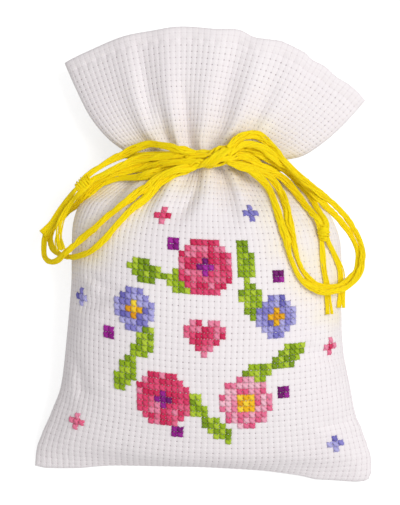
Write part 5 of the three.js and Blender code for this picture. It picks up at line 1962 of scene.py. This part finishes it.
@dataclass
class Studio:
    """A plain white floor, soft lamps and a camera that looks straight down from 45 cm."""

    camera_place: Point = (-0.000486, 0.000987, 0.45)
    lens: float = 131.95
    sensor_width: float = 36
    clip_start: float = 0.01
    key_lamp: tuple[Point, float, float] = ((0.45, 0.12, 0.72), 0.45, 3.7)
    fill_lamp: tuple[Point, float, float] = ((-0.08, -0.5, 0.45), 0.6, 0.42)
    ambient: float = 0.5
    floor_half: float = 1.2
    floor_drop: float = 0.00005
    floor_grey: float = 0.66
    floor_glow: float = 0.66

    def build(self) -> None:
        """Make the camera, the lamps, the world and the floor."""
        camera = bpy.data.cameras.new("camera")
        camera.lens = self.lens
        camera.sensor_width = self.sensor_width
        camera.clip_start = self.clip_start
        bpy.context.scene.camera = self._hold("camera", camera, self.camera_place)
        self._lamp("key_lamp", *self.key_lamp)
        self._lamp("fill_lamp", *self.fill_lamp)
        self._world()
        self._floor()
        bpy.context.scene.view_settings.view_transform = "Standard"
        log.info("studio")

    @staticmethod
    def _hold(name: str, data: bpy.types.ID, at: Point) -> bpy.types.Object:
        """Put a camera or a lamp at a place."""
        holder = bpy.data.objects.new(name, data)
        holder.location = at
        bpy.context.scene.collection.objects.link(holder)
        return holder

    def _lamp(self, name: str, at: Point, size: float, power: float) -> None:
        """Add a square lamp that faces the sachet."""
        lamp = bpy.data.lights.new(name, "AREA")
        lamp.size = size
        lamp.energy = power
        holder = self._hold(name, lamp, at)
        to_sachet = -holder.location
        holder.rotation_euler = to_sachet.to_track_quat("-Z", "Y").to_euler()

    def _world(self) -> None:
        """Give the world an even light, and plain white where the camera, a gloss or glass shows it."""
        world = bpy.data.worlds.new("studio")
        bpy.context.scene.world = world
        graph = Graph(world)
        light = graph.node("ShaderNodeBackground", {}, {"Color": WHITE, "Strength": self.ambient})
        white = graph.node("ShaderNodeBackground", {}, {"Color": WHITE})
        seen = graph.node("ShaderNodeLightPath")
        shown = seen.port("Is Camera Ray")
        for kind in ("Is Glossy Ray", "Is Transmission Ray"):
            shown = shown.math("MAXIMUM", seen.port(kind))
        choice = graph.node("ShaderNodeMixShader", {}, {0: shown, 1: light, 2: white})
        graph.node("ShaderNodeOutputWorld", {}, {0: choice})

    def _floor(self) -> None:
        """Lay a pale floor that keeps the shadow and looks white to the camera."""
        half, drop = self.floor_half, -self.floor_drop
        around = ((-half, -half), (half, -half), (half, half), (-half, half))
        corners = np.array([(x, y, drop) for x, y in around])
        graph = Graph(bpy.data.materials.new("floor"))
        grey = (self.floor_grey, self.floor_grey, self.floor_grey, 1)
        lit = graph.node("ShaderNodeBsdfDiffuse", {}, {"Color": grey})
        glow = graph.node("ShaderNodeEmission", {}, {"Color": WHITE, "Strength": self.floor_glow})
        lifted = graph.node("ShaderNodeAddShader", {}, {0: lit, 1: glow})
        shown = graph.node("ShaderNodeLightPath").port("Is Camera Ray")
        choice = graph.node("ShaderNodeMixShader", {}, {0: shown, 1: lit, 2: lifted})
        graph.node("ShaderNodeOutputMaterial", {}, {0: choice})
        mesh_piece("floor", corners, [np.array([[0, 1, 2, 3]])], graph.owner)


def stitch_finishes() -> dict[str, bpy.types.Material]:
    """The embroidery's materials, by slot."""
    shades = {
        "rose_cotton": ((212, 34, 88), (234, 76, 122), (242, 140, 172)),
        "pale_rose_cotton": ((234, 92, 136), (244, 148, 180), (250, 196, 212)),
        "plum_cotton": ((112, 0, 108), (144, 4, 136), (170, 36, 160)),
        "lavender_cotton": ((110, 104, 186), (146, 140, 214), (184, 180, 232)),
        "gold_cotton": ((232, 160, 10), (250, 196, 20), (255, 222, 60)),
        "lime_cotton": ((122, 154, 10), (156, 188, 20), (186, 210, 56)),
    }
    return {
        slot: StitchFinish(slot, *(linear(*shade) for shade in three)).build()
        for slot, three in shades.items()
    }


def main() -> None:
    """Build the studio and every piece of the sachet, in order."""
    logging.basicConfig(level=logging.INFO, format="%(message)s")
    Studio().build()
    tie = Tie(FlossFinish("yellow_floss", linear(255, 234, 0), linear(250, 212, 0)).build())
    tie.build_cords()
    tie.build_neck()
    sizes = ClothSizes()
    front, back = front_panel_shape(sizes), back_panel_shape(sizes)
    cotton = ClothFinish(sizes.hem_row, sizes.blocks_across / 2).build()
    floss = tie.lines()
    Settling(front, back, floss).apply()
    pillow = "potpourri_pillow"
    for node, shape in (("front_panel", front), ("back_panel", back)):
        ClothPanel(node, shape, cotton, floss, pillow).build()
    front_map, back_map = PanelMap(front), PanelMap(back)
    Embroidery(front_map, stitch_finishes()).build()
    thread = FlossFinish("sewing_cotton", linear(250, 247, 242), linear(226, 218, 212)).build()
    Sewing(front_map, back_map, thread).build()
    pillow_finish = DriedFinish("dried_pillow", 260).build()
    petal_finish = DriedFinish("dried_petals", 120).build()
    Filling(front_map, back_map, pillow_finish, petal_finish, pillow).build()


if __name__ == "__main__":
    main()
